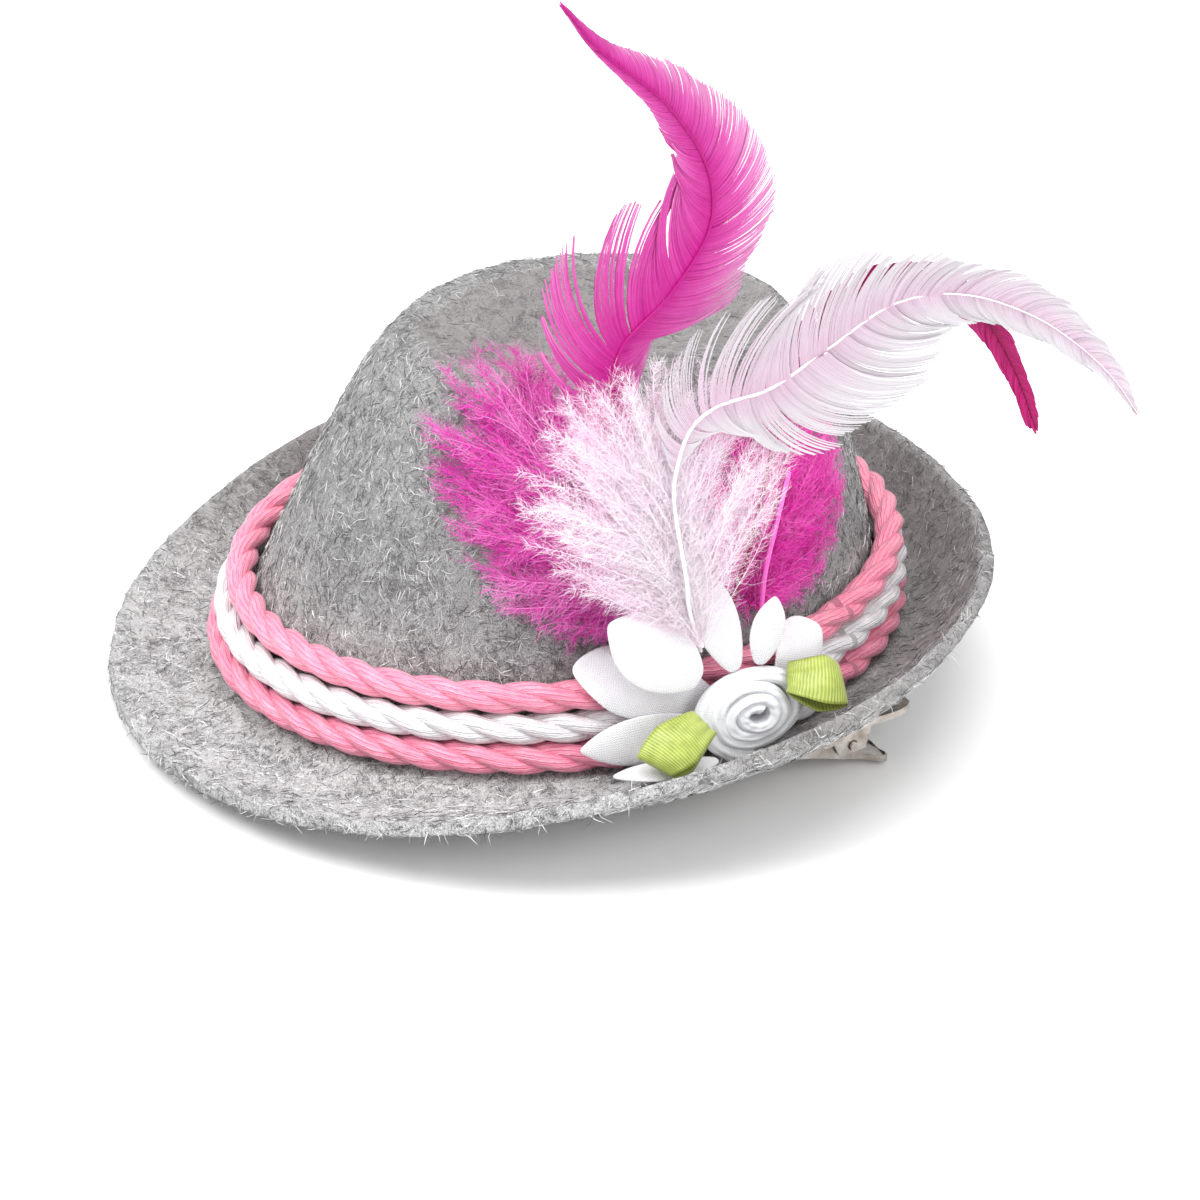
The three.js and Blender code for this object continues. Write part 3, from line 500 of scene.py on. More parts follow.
def cordStrands(node):
    box = levelPoints(node)
    low, high = box.min(0), box.max(0)
    radius = (high[2] - low[2]) / 2
    middle = (high[2] + low[2]) / 2
    width, front, back = high[0] - radius, -low[1] - radius, high[1] - radius
    around = np.linspace(0, 2 * np.pi, 721)
    x = np.sin(around) * width
    y = -np.cos(around) * np.where(np.cos(around) > 0, front, back)
    length = np.concatenate([[0], np.cumsum(np.hypot(np.diff(x), np.diff(y)))])
    turns = round(length[-1] / cord["lay"])
    count = turns * cord["pointsPerTurn"]
    run = np.arange(count) / count * length[-1]
    angle = np.interp(run, length, around) + cord["start"]
    phase = run / length[-1] * turns * 2 * np.pi
    reach = np.where(np.cos(angle) > 0, front, back)
    centre = np.stack([np.sin(angle) * width, -np.cos(angle) * reach, np.full(count, middle)], 1)
    out = np.stack([np.sin(angle) / width, -np.cos(angle) / reach, np.zeros(count)], 1)
    out /= np.linalg.norm(out, axis=1)[:, None]
    bundles = []
    for i in range(cord["strands"]):
        a = -phase + i * 2 * np.pi / cord["strands"]
        side = out * np.cos(a)[:, None] + np.array([0, 0, 1]) * np.sin(a)[:, None]
        path = centre + side * radius * cord["offset"]
        bundles.append((path[None], radius * cord["strandRadius"], i / cord["strands"], 0))
    return bundles


def cordFinish(name, bright, shade):
    finish = Finish(name, Roughness=0.33, Specular_IOR_Level=0.7, Sheen_Weight=0.2,
                    Sheen_Roughness=0.4, Coat_Weight=0.3, Coat_Roughness=0.28)
    side = finish.node("SeparateXYZ", {}, finish.attribute("side", output=1))
    y = Link(finish, side.socket.node.outputs[1])
    angle = side.maths("ARCTAN2", y, side)
    along = finish.attribute("along")
    fine = finish.noise(finish.place(), 1.1, 2.0)
    drift = angle * 9 + along * 420 + fine * 5
    filaments = drift.sine() * 0.5 + (angle * 23 + along * 700 + fine * 7).sine() * 0.35
    patches = finish.noise(finish.place(), 0.4, 2.0)
    tone = (filaments * 0.45 + patches * 0.8 + 0.1).held()
    return finish.paint(Base_Color=finish.blend(tone, shade, bright),
                        Roughness=0.3 + filaments * 0.05,
                        Normal=finish.bump(filaments, 0.0002, 0.7))


pinkSatin = cordFinish("pinkCord", cord["pink"], cord["pinkShade"])
whiteSatin = cordFinish("whiteCord", cord["white"], cord["whiteShade"])
for node, material, slot in (("cord_lower", pinkSatin, "cord_pink"),
                             ("cord_middle", whiteSatin, "cord_white"),
                             ("cord_upper", pinkSatin, "cord_pink")):
    rope = strands(node.replace("cord", "twist"), cordStrands(node), sides=12, closed=True)
    finished(rope.name, placed(rope), material, "hat", [node])
print("cords done")

# ---- the surface under the trimming, felt by rays from the hat's left, and the plume's plane
trimGrid = {"back": (-60, 60), "up": (0, 96), "step": 2.0, "lean": 0.32}
plumePlane = {"start": 60.7, "lean": 0.3, "straight": 55.6, "fall": 3.0}
flower = {"back": 9.0, "up": 12.6, "petalLength": 25.0}


def trimSurface():
    trees = []
    for name in ("felt_body", "cord_lower", "cord_middle", "cord_upper"):
        bm = levelCopy(name)
        trees.append(BVHTree.FromBMesh(bm))
        bm.free()
    backs = np.arange(*trimGrid["back"], trimGrid["step"])
    ups = np.arange(*trimGrid["up"], trimGrid["step"])
    grid = np.zeros((len(backs), len(ups)))
    for i, back in enumerate(backs):
        last = 0.0
        for j, up in enumerate(ups):
            reach = []
            for tree in trees:
                hit = tree.ray_cast(Vector((58, back, up)), Vector((-1, 0, 0)))[0]
                if hit is not None and hit.x > 0:
                    reach.append(hit.x)
            last = max(reach) if reach else last - trimGrid["lean"] * trimGrid["step"]
            grid[i, j] = last
    for _ in range(2):  # the hollows between cords are too narrow for what lies on them
        grid[:, 1:-1] = np.maximum(grid[:, 1:-1], (grid[:, :-2] + grid[:, 2:]) / 2)

    def at(back, up):
        i = np.clip((back - backs[0]) / trimGrid["step"], 0, len(backs) - 1.001)
        j = np.clip((up - ups[0]) / trimGrid["step"], 0, len(ups) - 1.001)
        a, b = i.astype(int), j.astype(int)
        s, t = i - a, j - b
        return ((grid[a, b] * (1 - s) + grid[a + 1, b] * s) * (1 - t)
                + (grid[a, b + 1] * (1 - s) + grid[a + 1, b + 1] * s) * t)
    return at


trimAt = trimSurface()


def onTrim(p):  # flat points: back, up, out
    return np.stack([trimAt(p[:, 0], p[:, 1]) + p[:, 2], p[:, 0], p[:, 1]], 1)


def onPlume(p):
    above = plumePlane["fall"] * (1 - np.exp(-np.maximum(0, p[:, 1] - plumePlane["straight"]) / 10))
    x = plumePlane["start"] - plumePlane["lean"] * np.minimum(p[:, 1], plumePlane["straight"])
    return np.stack([x - above + p[:, 2], p[:, 0], p[:, 1]], 1)


# ---- feathers: a quill, and barbs that hold together in locks
# path: back and up in shares of the size; vane: share of the quill, left, right and sweep
# hold and parted: at the foot and in the full vane; rise: mm over the down; tipFade: darker tip
feathers = {
    "feather_magenta": {
        "size": 127, "out": 0.0, "slot": "feather_magenta", "spacing": 0.2, "quill": 0.45,
        "locks": (3.5, 6.5), "hold": (0.72, 0.08), "parted": (1.0, 0.1), "camber": 0.035,
        "ragged": 0.1, "body": 1.3, "rise": 0, "tipFade": 0.85,
        "path": [(-0.055, 0.089), (-0.09, 0.216), (-0.128, 0.341), (-0.143, 0.44), (-0.131, 0.509),
                 (-0.06, 0.575), (-0.005, 0.66), (-0.008, 0.74), (-0.065, 0.84), (-0.161, 0.935),
                 (-0.209, 1.0)],
        "vane": [(0.26, 0.02, 0.02, 46), (0.33, 0.15, 0.1, 38), (0.42, 0.2, 0.14, 36),
                 (0.5, 0.18, 0.125, 38), (0.6, 0.12, 0.115, 38), (0.67, 0.07, 0.105, 35),
                 (0.76, 0.044, 0.08, 31), (0.88, 0.02, 0.042, 25), (0.96, 0.012, 0.02, 18),
                 (1.0, 0.005, 0.006, 14)],
    },
    "feather_white": {
        "size": 80, "out": 1.8, "slot": "feather_white", "spacing": 0.19, "quill": 0.4,
        "locks": (2.0, 7.0), "hold": (0.4, 0.16), "parted": (0.6, 0.3), "camber": 0.03,
        "ragged": 0.14, "body": 0.66, "rise": 7.0, "tipFade": 0,
        "path": [(-0.096, 0.154), (-0.135, 0.287), (-0.145, 0.39), (-0.147, 0.549), (-0.096, 0.66),
                 (-0.03, 0.69), (0.091, 0.696), (0.237, 0.75), (0.402, 0.811), (0.575, 0.791),
                 (0.737, 0.712), (0.84, 0.631), (0.929, 0.537), (0.985, 0.447)],
        "vane": [(0.24, 0.012, 0.012, 62), (0.3, 0.2, 0.1, 58), (0.36, 0.3, 0.16, 54),
                 (0.42, 0.3, 0.27, 50), (0.48, 0.24, 0.29, 45), (0.56, 0.16, 0.21, 40),
                 (0.63, 0.125, 0.14, 34), (0.74, 0.13, 0.115, 28), (0.86, 0.11, 0.08, 23),
                 (0.94, 0.06, 0.04, 19), (1.0, 0.012, 0.01, 15)],
    },
    "feather_rear": {
        "size": 61, "out": -1.8, "slot": "feather_magenta", "spacing": 0.22, "quill": 0.5,
        "locks": (2.5, 6.0), "hold": (0.5, 0.25), "parted": (0.8, 0.5), "camber": 0.02,
        "ragged": 0.1, "body": 0.8, "rise": 0, "tipFade": 0.85,
        "path": [(-0.059, 0.159), (0.061, 0.385), (0.146, 0.59), (0.247, 0.852), (0.37, 1.038),
                 (0.523, 1.098), (0.693, 1.066), (0.854, 0.913), (0.944, 0.746), (0.995, 0.572)],
        "vane": [(0.3, 0.015, 0.015, 42), (0.42, 0.08, 0.12, 38), (0.6, 0.08, 0.13, 31),
                 (0.8, 0.085, 0.11, 25), (0.95, 0.07, 0.08, 19), (1.0, 0.015, 0.015, 16)],
    },
}


def featherBundles(plume, rng):
    size, vane = plume["size"], np.array(plume["vane"])
    path = smooth(np.array(plume["path"]) * size + (flower["back"], flower["up"]), 400)
    run = np.concatenate([[0], np.cumsum(np.linalg.norm(np.diff(path, axis=0), axis=1))])
    total = run[-1]

    def at(s):
        return np.stack([np.interp(s, run, path[:, 0]), np.interp(s, run, path[:, 1])], -1)

    def barbs(s, side, column, stretch, swing):  # curves that leave the quill open and close up to it
        share = s / total
        length = size * np.interp(share, vane[:, 0], vane[:, column]) * stretch
        ahead = at(np.minimum(s + 0.5, total)) - at(s - 0.5)
        heading = np.arctan2(ahead[..., 0], ahead[..., 1])
        sweep = np.radians(np.interp(share, vane[:, 0], vane[:, 3]) + swing)
        knots = [at(s)]
        for reach, opened in ((0.36, 0.5), (0.72, 0.2), (1.0, 0.0)):
            turn = heading + side * (sweep + opened)
            knots.append(knots[0] + (length * reach)[..., None] * np.stack([np.sin(turn), np.cos(turn)], -1))
        return knots

    def lifted(s):  # the white quill lies over its down at its foot
        share = s / total
        return plume["rise"] * np.clip((0.66 - share) / 0.4, 0, 1) * np.clip(share / 0.11, 0, 1)

    quillAt = np.linspace(0, total, 80)
    quill = np.column_stack([at(quillAt), plume["out"] + lifted(quillAt) + 0.25])
    bundles = []
    t = np.linspace(0, 1, 9)
    ease = [(1 - t) ** 3, 3 * t * (1 - t) ** 2, 3 * t ** 2 * (1 - t), t ** 3]
    for side, column in ((-1, 1), (1, 2)):
        s = vane[0, 0] * total
        while s < total - 0.4:
            grown = np.clip((s / total - 0.3 + 0.22 * (side > 0)) / 0.35, 0, 1)
            wide = rng.uniform(*plume["locks"]) * (0.5 + 0.7 * grown) * (1.15 - 0.4 * s / total)
            wide = min(wide, total - s)
            stretch, swing = 1 - rng.uniform(0, plume["ragged"]), rng.normal(0, 1.6 - grown)
            parted = rng.random() < np.interp(grown, (0, 1), plume["parted"])
            hold = np.interp(grown, (0, 1), plume["hold"]) * (1 if parted else 0.25)
            count = max(3, int(wide / plume["spacing"] / (1.2 - 0.2 * grown)))
            place = (np.arange(count) + 0.5) / count
            own = stretch * (1 - 0.13 * (place - 0.6) ** 2 * 4 * parted) * rng.uniform(0.97, 1.02, count)
            knots = barbs(s + wide * place, side, column, own, swing + rng.normal(0, 0.7, count))
            lead = barbs(s + wide * 0.7, side, column, np.float64(stretch), swing)[3]
            knots[3] = knots[3] + (lead - knots[3]) * hold
            knots[2] = knots[2] + (lead - knots[3]) * hold * 0.3
            flat = sum(e[:, None] * k[:, None] for e, k in zip(ease, knots))
            reach = np.linalg.norm(flat - flat[:, :1], axis=2)
            out = plume["out"] + lifted(s) - plume["camber"] * reach * (1 + 0.03 * reach)
            out = out + t * rng.uniform(-0.15, 0.15) * 2.4 + (np.arange(count) % 3)[:, None] * 0.025
            girth = plume["spacing"] * (plume["body"] * (1 - grown) + 0.9 * grown) * (1 - 0.5 * t ** 2)
            fade = 1 - plume["tipFade"] * np.clip((s / total - 0.78) / 0.16, 0, 1)
            tone = np.clip((0.5 * (side > 0) + 0.3 + rng.normal(0, 0.13, count)) * fade, 0.02, 1)
            bundles.append((np.concatenate([flat, out[..., None]], 2), girth, tone,
                            rng.normal(0, 0.22, count)))
            s += wide + (0.6 * (1 - grown) if parted else 0)
    quillGirth = plume["quill"] * (1 - 0.82 * quillAt / total)
    return bundles, [(quill[None], quillGirth, 0.0, 0)]


def featherFinish(name, shaft, inner, outer, rim):
    finish = Finish(name, Roughness=0.5, Specular_IOR_Level=0.3, Sheen_Weight=0.08,
                    Sheen_Roughness=0.35)
    along, tone = finish.attribute("along"), finish.attribute("tone")
    across = finish.node("SeparateXYZ", {}, finish.attribute("side", output=1))
    grain = finish.noise(finish.place(), 0.3, 3.0, 0.6)
    reach = (along * (0.35 + tone * 0.9) + grain * 0.3 - 0.15).held()
    colour = finish.ramp(reach, (0.0, inner), (0.45, outer), (1.0, rim))
    colour = finish.blend(across * across * 0.6, colour, shaft)
    bare = tone.maths("LESS_THAN", tone, 0.01)  # the quill itself
    colour = finish.blend(bare, colour, shaft)
    return finish.paint(Base_Color=colour)


featherColours = {  # shaft, inner vane, outer vane, rim
    "feather_magenta": ((0.44, 0.003, 0.20), (0.53, 0.006, 0.26), (0.66, 0.10, 0.42), (0.76, 0.34, 0.60)),
    "feather_white": ((0.86, 0.82, 0.86), (0.57, 0.37, 0.50), (0.58, 0.53, 0.58), (0.60, 0.59, 0.61)),
    "feather_rear": ((0.26, 0.0, 0.07), (0.40, 0.003, 0.12), (0.46, 0.005, 0.15), (0.56, 0.02, 0.22)),
}
for node, plume in feathers.items():
    vane, quill = featherBundles(plume, rng)
    finish = featherFinish(node, *featherColours[node])
    mesh = reshape(strands(node.replace("feather", "plume"), vane), onPlume)
    finished(mesh.name, placed(mesh), finish, "hat", [node])
    mesh = reshape(strands(node.replace("feather", "quill"), quill, sides=8), onPlume)
    finished(mesh.name, placed(mesh), finish, "hat")
print("feathers done")

# ---- down: barbs that arch out of a short quill, each with a soft fringe
# outline: how far it reaches from its centre in eight directions, from up round by the back,
# in shares of the size; out and depth: mm from the surface; floor: where it ends below
tufts = {
    "down_left": {
        "surface": onTrim, "centre": (-14, 45.6), "size": 28, "depth": 6.2, "slot": "down_magenta",
        "quill": [(-4, 27), (-9, 36), (-13, 45), (-15, 56)], "barbs": 430, "out": 0.5, "floor": 25.0,
        "fringe": 0.135, "fringeLength": (2.0, 5.0), "girth": 0.036,
        "outline": [0.94, 0.62, 0.5, 0.55, 0.8, 0.74, 0.66, 0.76],
        "colours": ((0.50, 0.005, 0.27), (0.72, 0.04, 0.43), (0.86, 0.34, 0.69)),
    },
    "down_right": {
        "surface": onTrim, "centre": (24, 38.6), "size": 20, "depth": 6.2, "slot": "down_magenta",
        "quill": [(15, 25), (17, 32), (21, 40), (25, 46)], "barbs": 420, "out": 0.5, "floor": 23.0,
        "fringe": 0.13, "fringeLength": (1.8, 4.4), "girth": 0.036,
        "outline": [1.0, 0.98, 0.97, 0.84, 0.86, 1.0, 1.05, 1.05],
        "colours": ((0.62, 0.003, 0.31), (0.88, 0.02, 0.50), (0.93, 0.20, 0.64)),
    },
    "down_white": {
        "surface": onPlume, "centre": (-6, 53.6), "size": 27, "depth": 5.2, "slot": "down_white",
        "quill": [(1.3, 26), (-1, 33), (-2.4, 42), (-2.8, 52)], "barbs": 330, "out": 2.8, "floor": 27,
        "fringe": 0.168, "fringeLength": (2.2, 5.4), "girth": 0.026,
        "outline": [0.84, 0.92, 1.14, 0.3, 0.7, 0.72, 0.86, 0.88],
        "colours": ((0.95, 0.66, 0.84), (0.97, 0.86, 0.94), (0.98, 0.96, 0.98)),
    },
}


def downBundles(tuft, rng):
    centre, count = np.array(tuft["centre"], float), tuft["barbs"]
    quill = smooth(tuft["quill"], 60)
    heading = rng.random(count) * 2 * np.pi
    outline = tuft["outline"] + tuft["outline"][:1]
    share = np.where(rng.random(count) < 0.5, rng.uniform(0.72, 1.04, count),
                     rng.uniform(0.2, 0.8, count))
    reach = tuft["size"] * np.interp(heading, np.arange(9) * np.pi / 4, outline) * share
    tip = centre + reach[:, None] * np.stack([np.sin(heading), np.cos(heading)], 1)
    tip[:, 1] = np.maximum(tip[:, 1], tuft["floor"] + rng.uniform(0, 3, count))
    rise = np.clip(0.42 + 0.4 * np.cos(heading) + rng.normal(0, 0.2, count), 0, 1)
    root = quill[(rise * 59).astype(int)]
    span = tip - root
    length = np.linalg.norm(span, axis=1)
    lean = np.stack([rng.normal(0, 0.14, count), rng.uniform(0.02, 0.28, count)], 1)
    arch = root + span * 0.5 + lean * length[:, None]
    parts = 9  # of a barb's line
    t = np.linspace(0, 1, parts + 1)
    ease = ((1 - t) ** 2, 2 * t * (1 - t), t ** 2)
    flat = sum(e[:, None] * knot[:, None] for e, knot in zip(ease, (root, arch, tip)))
    wave = np.sin(t * rng.uniform(3, 8, (count, 1)) + rng.uniform(0, 6, (count, 1))) * t * 0.8
    sideways = np.stack([span[:, 1], -span[:, 0]], 1) / (length[:, None] + 1e-9)
    flat = flat + wave[..., None] * sideways[:, None]
    layer = rng.random(count)[:, None] ** 0.8
    away = np.linalg.norm(flat - centre, axis=2) / tuft["size"]
    dome = np.clip(1 - 0.75 * away ** 1.8, 0.1, 1)
    out = tuft["out"] + 0.4 + tuft["depth"] * layer * dome * np.clip(t * 4, 0.25, 1)
    curve = np.concatenate([flat, out[..., None]], 2)
    tone = np.clip(rng.normal(0.42, 0.2, count) + 0.35 * (layer[:, 0] - 0.5), 0, 1)
    barbs = (curve, tuft["girth"] * 2.6 * (1 - 0.6 * t), np.clip(tone + 0.15, 0, 1), 0)

    # the fringe: fine hairs along every barb and all round it
    hairs = np.maximum((length / tuft["fringe"]).astype(int), 6)
    owner = np.repeat(np.arange(count), hairs)
    many = len(owner)
    place = rng.random(many) ** 0.85 * 0.97 + 0.02
    j = np.minimum((place * parts).astype(int), parts - 1)
    f = (place * parts - j)[:, None]
    start, ahead = curve[owner, j] * (1 - f) + curve[owner, j + 1] * f, curve[owner, j + 1] - curve[owner, j]
    ahead /= np.linalg.norm(ahead, axis=1)[:, None] + 1e-9
    across = np.cross(ahead, [0, 0, 1.0])
    across /= np.linalg.norm(across, axis=1)[:, None] + 1e-9
    roll = rng.normal(0, 0.7, many) + np.pi * rng.integers(0, 2, many)
    side = across * np.cos(roll)[:, None] + np.array([0, 0, 0.7]) * np.sin(roll)[:, None]
    long = (rng.uniform(*tuft["fringeLength"], many) * (1 - 0.5 * place ** 2))[:, None] * 0.5
    fold = start + (side * rng.uniform(0.4, 1.0, (many, 1)) + ahead * rng.uniform(0, 1.0, (many, 1))) * long
    end = fold + (side * rng.uniform(0, 0.7, (many, 1)) + ahead * rng.uniform(0.4, 1.2, (many, 1))
                  + rng.normal(0, 0.3, (many, 3))) * long
    fringe = np.stack([start, fold, end], 1)
    fringe[..., 2] = np.maximum(fringe[..., 2], tuft["out"])
    girth = tuft["girth"] * np.array([1.0, 0.8, 0.3])
    hairTone = np.clip(tone[owner] + rng.normal(0, 0.12, many), 0, 1)
    return [barbs, (fringe, girth, hairTone, rng.uniform(0, np.pi, many))]


def downFinish(name, deep, main, pale):
    finish = Finish(name, Roughness=0.85, Specular_IOR_Level=0.1, Sheen_Weight=0.4,
                    Sheen_Roughness=0.5)
    along, tone = finish.attribute("along"), finish.attribute("tone")
    patches = finish.noise(finish.place(), 0.16, 3.0)
    mix = (tone * 0.8 + along * 0.3 + patches * 0.5 - 0.3).held()
    return finish.paint(Base_Color=finish.ramp(mix, (0.0, deep), (0.45, main), (1.0, pale)))


for node, tuft in tufts.items():
    finish = downFinish(node, *tuft["colours"])
    mesh = reshape(strands(node.replace("down", "marabou"), downBundles(tuft, rng)), tuft["surface"])
    finished(mesh.name, placed(mesh), finish, "hat", [node])
    if node == "down_right":  # its quill shows at the front of the fluff
        stem = np.column_stack([smooth(tuft["quill"], 40), np.full(40, tuft["depth"] + 1.2)])
        stem = strands("marabou_quill", [(stem[None], 0.42, 1.0, 0)], sides=8)
        finished(stem.name, placed(reshape(stem, onTrim)), finish, "hat")
print("down done")

# ---- flower: cloth petals, a ribbon rose and two ribbon leaves
petal = {"thread": 0.42, "white": (0.96, 0.96, 0.97), "shade": (0.60, 0.58, 0.64)}


def clothFinish():
    finish = Finish("petalCloth", Roughness=0.75, Specular_IOR_Level=0.25, Sheen_Weight=0.3,
                    Sheen_Roughness=0.4)
    u, v = finish.clothPlace()
    turns = 2 * math.pi / petal["thread"]
    warp, weft = (u * turns).sine(), (v * turns).sine()
    weave = warp * weft * 0.5 + (warp + weft) * 0.25
    patches = finish.noise(finish.place(), 0.22, 3.0)
    tone = (weave * 0.7 + patches * 0.5 + 0.45).held()
    return finish.paint(Base_Color=finish.blend(tone, petal["shade"], petal["white"]),
                        Normal=finish.bump(weave, 0.0001, 0.8))


def petalMesh(node):
    mesh = toMesh(levelCopy(node), node.replace("petal", "cloth_petal"), 2)
    points = np.array([v.co for v in mesh.vertices])
    axes = np.linalg.svd(points - points.mean(0), full_matrices=False)[2]
    flat = (points - points.mean(0)) @ axes[:2].T
    clothMap(mesh, flat)
    return mesh


cloth = clothFinish()
for i in range(1, 9):
    mesh = petalMesh(f"petal_{i}")
    finished(mesh.name, placed(mesh), cloth, "hat", [f"petal_{i}"])

wallLean = math.radians(15)
flowerAxes = np.array((  # columns: back, up the wall, out of it
    (0, -math.sin(wallLean), math.cos(wallLean)),
    (1, 0, 0),
    (0, math.cos(wallLean), math.sin(wallLean)),
))


def onFlower(mesh, seat):  # from back, up and out to the level frame
    return reshape(mesh, lambda p: p @ flowerAxes.T + seat)


def middleOf(node):
    points = levelPoints(node)
    return (points.min(0) + points.max(0)) / 2


def satinFinish(name, bright, shade, thread, ribs, roughness, contrast):
    finish = Finish(name, Roughness=roughness, Specular_IOR_Level=0.55, Sheen_Weight=0.3,
                    Sheen_Roughness=0.4)
    u, v = finish.clothPlace()
    wobble = finish.noise(finish.place(), 0.5, 2.0)
    turns = 2 * math.pi / thread
    weave = (u * turns + wobble * 1.5).sine() * ribs + (v * turns).sine() * (1 - ribs)
    tone = (wobble * 0.8 + weave * contrast + 0.12).held()
    return finish.paint(Base_Color=finish.blend(tone, shade, bright),
                        Normal=finish.bump(weave, 0.00007, 0.6))


rose = {  # across, tall and heart: mm from its middle
    "across": 9.5, "tall": 7.2, "height": 5.6, "turns": 3.6, "heart": 0.3,
    "ribbonLength": 110, "bright": (0.97, 0.975, 0.99), "shade": (0.88, 0.90, 0.94),
}
roseFold = {  # across the ribbon, from its seat over the soft fold and down outside
    "share": (0, 0.3, 0.45, 0.55, 0.66, 0.8, 1.0),
    "out": (0, 0.03, 0.16, 0.42, 0.82, 1.12, 1.3),
    "up": (0, 0.74, 0.93, 1.0, 0.98, 0.88, 0.66),
}


def roseShape(along, across):
    angle = along * rose["turns"] * 2 * np.pi + 0.9
    pitch = (rose["across"] - rose["heart"]) / (rose["turns"] + 0.6)
    last = np.clip((along - 0.72) / 0.28, 0, 1)  # the outer wrap opens wider
    fold = np.interp(across, roseFold["share"], roseFold["out"]) * pitch * (0.95 + 0.35 * last)
    top = rose["height"] * (1 - 0.38 * along ** 1.6) * (1 + 0.07 * np.sin(angle * 0.83 + 2))
    up = np.interp(across, roseFold["share"], roseFold["up"]) * top
    radius = rose["heart"] + pitch * rose["turns"] * along + fold
    radius = radius * (1 + 0.06 * np.sin(angle * 1.3 + 1) + 0.03 * np.sin(angle * 2.7))
    up = up + 0.1 * np.sin(across * 31 + angle * 1.1) + 0.05 * np.sin(angle * 9 + across * 14)
    return np.stack([np.cos(angle) * radius, np.sin(angle) * radius * rose["tall"] / rose["across"],
                     up - rose["height"] / 2], 1)


mesh = sheet("ribbon_rose", (rose["ribbonLength"], 14), (320, 30), roseShape, 0.3)
roseSatin = satinFinish("roseSatin", rose["bright"], rose["shade"], 0.3, 0.4, 0.45, 0.18)
finished(mesh.name, placed(onFlower(mesh, middleOf("rose"))), roseSatin, "hat", ["rose"])

leaf = {"length": 12.0, "width": 9.4, "loop": 5.6, "thickness": 0.25, "waist": 0.6,
        "green": (0.50, 0.58, 0.13), "shade": (0.17, 0.23, 0.012)}
leaves = {
    "leaf_left": {"heading": -114, "tilt": 12, "roll": 40, "size": 1.0},
    "leaf_right": {"heading": 110, "tilt": 8, "roll": -36, "size": 0.85},
}


def leafMesh(node, heading, tilt, roll, size):
    def shape(along, across):  # a loop whose two ends meet, gathered, at the rose
        turn = along * 2 * np.pi
        opened = np.clip((1 - np.cos(turn)) / 1.2, 0, 1)
        far = ((1 - np.cos(turn)) / 2) ** 4
        half = leaf["width"] / 2 * (leaf["waist"] + (1 - leaf["waist"]) * opened) * (1 - 0.3 * far)
        tilted = (across - 0.5) * 0.16 * np.sin(turn / 2)  # one side stands a little further out
        x = -np.cos(turn) * leaf["length"] * size * (0.5 + tilted)
        arched = 1 - 0.35 * (across * 2 - 1) ** 2
        y = np.sin(turn) * leaf["loop"] / 2 * (0.3 + 0.7 * opened) * arched
        gathers = np.sin(across * 19) * 0.25 * (1 - opened)
        return np.stack([x, y + gathers, (across * 2 - 1) * half], 1)

    mesh = sheet(node.replace("leaf", "ribbon_leaf"), (leaf["length"] * 2.4 * size, leaf["width"]),
                 (72, 14), shape, leaf["thickness"])
    a, b, c = (math.radians(angle) for angle in (heading, tilt, roll))
    flat = np.array([math.sin(a), math.cos(a), 0])
    out = np.array([0, 0, 1.0])
    ahead = flat * math.cos(b) + out * math.sin(b)
    height = out * math.cos(b) - flat * math.sin(b)
    across = np.cross(ahead, height)
    height, across = height * math.cos(c) + across * math.sin(c), across * math.cos(c) - height * math.sin(c)
    return reshape(mesh, lambda p: p @ np.stack([ahead, height, across]))


leafSatin = satinFinish("leafSatin", leaf["green"], leaf["shade"], 0.46, 0.85, 0.28, 0.3)
for node, way in leaves.items():
    mesh = onFlower(leafMesh(node, **way), middleOf(node))
    finished(mesh.name, placed(mesh), leafSatin, "hat", [node])
print("flower done")


# ---- clip: the CAD pieces with a bright pressed steel
def steelFinish():
    finish = Finish("brightSteel", Metallic=1.0, Roughness=0.25)
    where = finish.place()
    streak = finish.noise(finish.node("Mapping", {}, where, Scale=(1, 0.12, 1)), 2.2, 4.0)
    # painted reflection with some wear: darker brown patches in the steel's colour stand for brownish
    # reflections
    wearAndReflection = finish.noise(where, 0.35, 3.0)
    colour = finish.ramp(wearAndReflection, (0.3, (0.34, 0.28, 0.235)), (0.65, (0.62, 0.585, 0.55)))
    return finish.paint(Base_Color=colour, Roughness=0.2 + streak * 0.2,
                        Normal=finish.bump(streak, 0.00002, 0.3))


steel = steelFinish()
for name in ("clip_upper_jaw", "clip_lower_jaw", "clip_pin", "clip_spring"):
    mesh = nodes[name].data
    mesh.materials.clear()
    mesh.materials.append(steel)
print("clip done")

# ---- stage, camera and light
camera = {"azimuth": 66.83, "elevation": 31.02, "distance": 765.15, "right": 5.99, "rise": 1.83,
          "pixelsPerMm": 5.5, "pixels": 1200, "sensor": 36}
studio = {"key": 5.4, "fill": 3.5, "top": 6.6, "world": 0.66}  # watts, and the world's strength


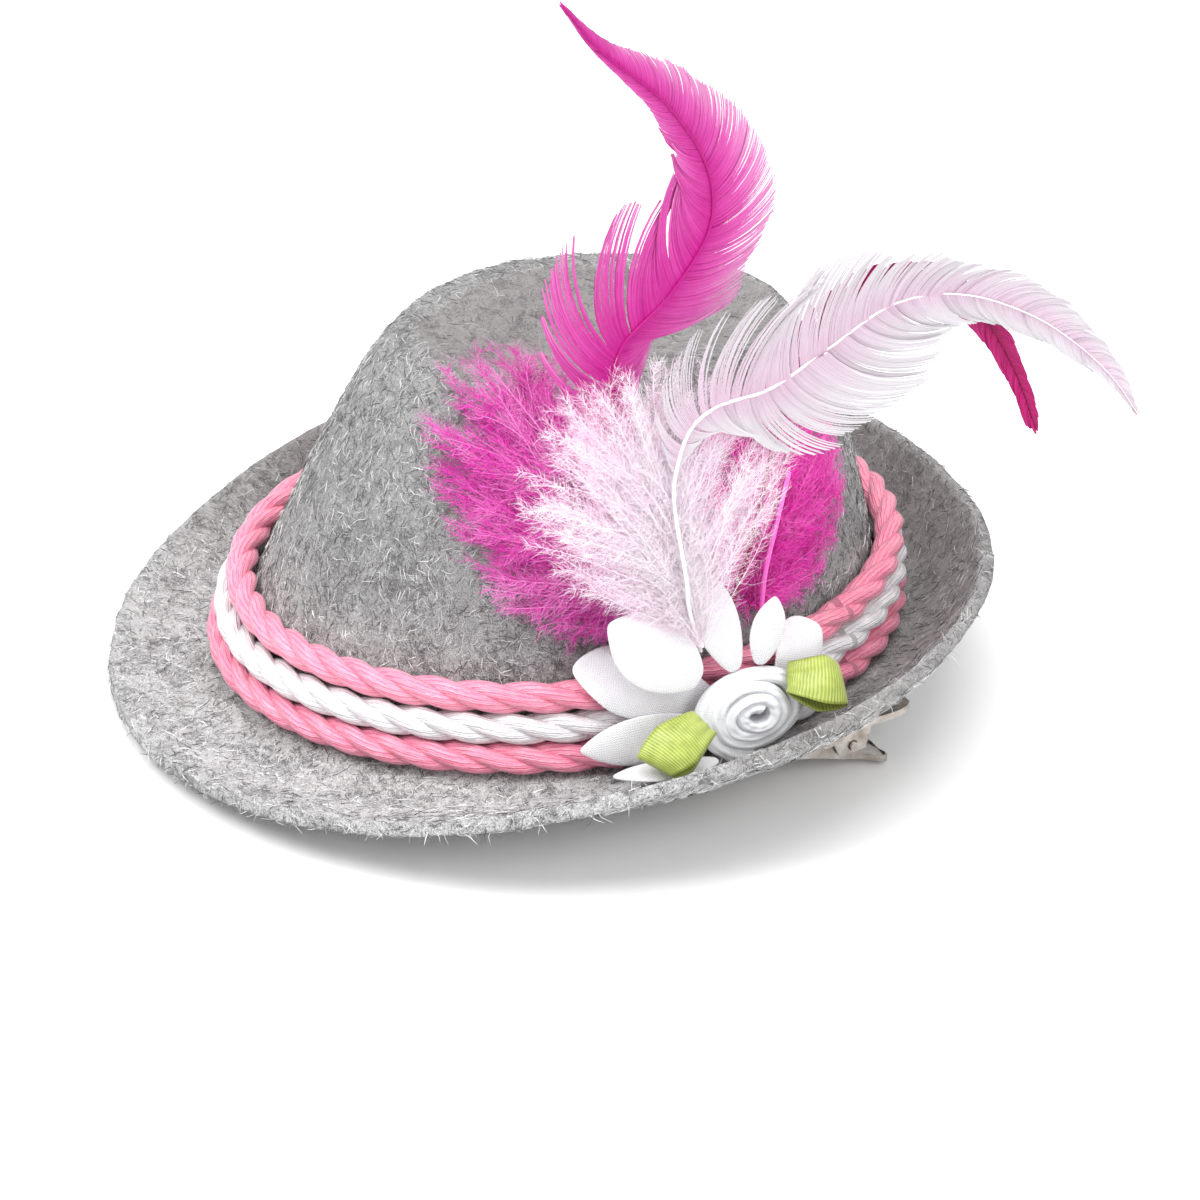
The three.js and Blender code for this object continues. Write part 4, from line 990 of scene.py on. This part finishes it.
def addCamera():
    a, e = math.radians(camera["azimuth"]), math.radians(camera["elevation"])
    back = Vector((math.sin(a) * math.cos(e), -math.cos(a) * math.cos(e), math.sin(e)))
    right = Vector((math.cos(a), math.sin(a), 0))
    up = back.cross(right)
    target = right * camera["right"] + up * camera["rise"] + Vector((0, 0, 2.5))
    turn = toWorld.to_3x3() * 1000
    made = bpy.data.cameras.new("camera")
    made.sensor_width = camera["sensor"]
    made.lens = camera["sensor"] * camera["pixelsPerMm"] * camera["distance"] / camera["pixels"]
    made.clip_start, made.clip_end = 0.01, 20
    view = bpy.data.objects.new("camera", made)
    axes = Matrix((turn @ right, turn @ up, turn @ back)).transposed()
    view.matrix_world = Matrix.Translation(toWorld @ (target + back * camera["distance"])) @ axes.to_4x4()
    bpy.context.scene.collection.objects.link(view)
    bpy.context.scene.camera = view
    return view


def areaLight(name, place, aim, size):
    made = bpy.data.lights.new(name, "AREA")
    made.shape, made.size, made.energy = "DISK", size, studio[name]
    light = bpy.data.objects.new(name, made)
    light.location = place
    light.rotation_euler = (Vector(aim) - Vector(place)).to_track_quat("-Z", "Y").to_euler()
    bpy.context.scene.collection.objects.link(light)


view = addCamera()
bm = bmesh.new()
bmesh.ops.create_grid(bm, x_segments=1, y_segments=1, size=4)
floor = bpy.data.objects.new("floor", toMesh(bm, "floor"))
bpy.context.scene.collection.objects.link(floor)
paper = Finish("palePaper", Roughness=0.9, Specular_IOR_Level=0.2)
grain = paper.noise(paper.place(), 0.2, 3.0)
floor.data.materials.append(paper.paint(Base_Color=paper.blend(grain * 0.4, (0.93,) * 3, (0.9,) * 3)))

toCamera = view.matrix_world.to_3x3()
side, rise, front = toCamera.col[0], toCamera.col[1], toCamera.col[2]
centre = Vector((0, 0, 0.05))
areaLight("key", centre - side * 0.5 + rise * 0.5 + front * 0.6, centre, 0.45)
areaLight("fill", centre + side * 0.6 + rise * 0.1 + front * 0.8, centre, 0.7)
areaLight("top", centre + Vector((0, 0, 0.9)), centre, 0.8)
world = bpy.data.worlds.new("studio")
world.use_nodes = True
background = world.node_tree.nodes["Background"].inputs
background[0].default_value = (1, 1, 1, 1)
background[1].default_value = studio["world"]
bpy.context.scene.world = world
bpy.context.scene.view_settings.view_transform = "Standard"
print("stage done")

bpy.context.view_layer.update()
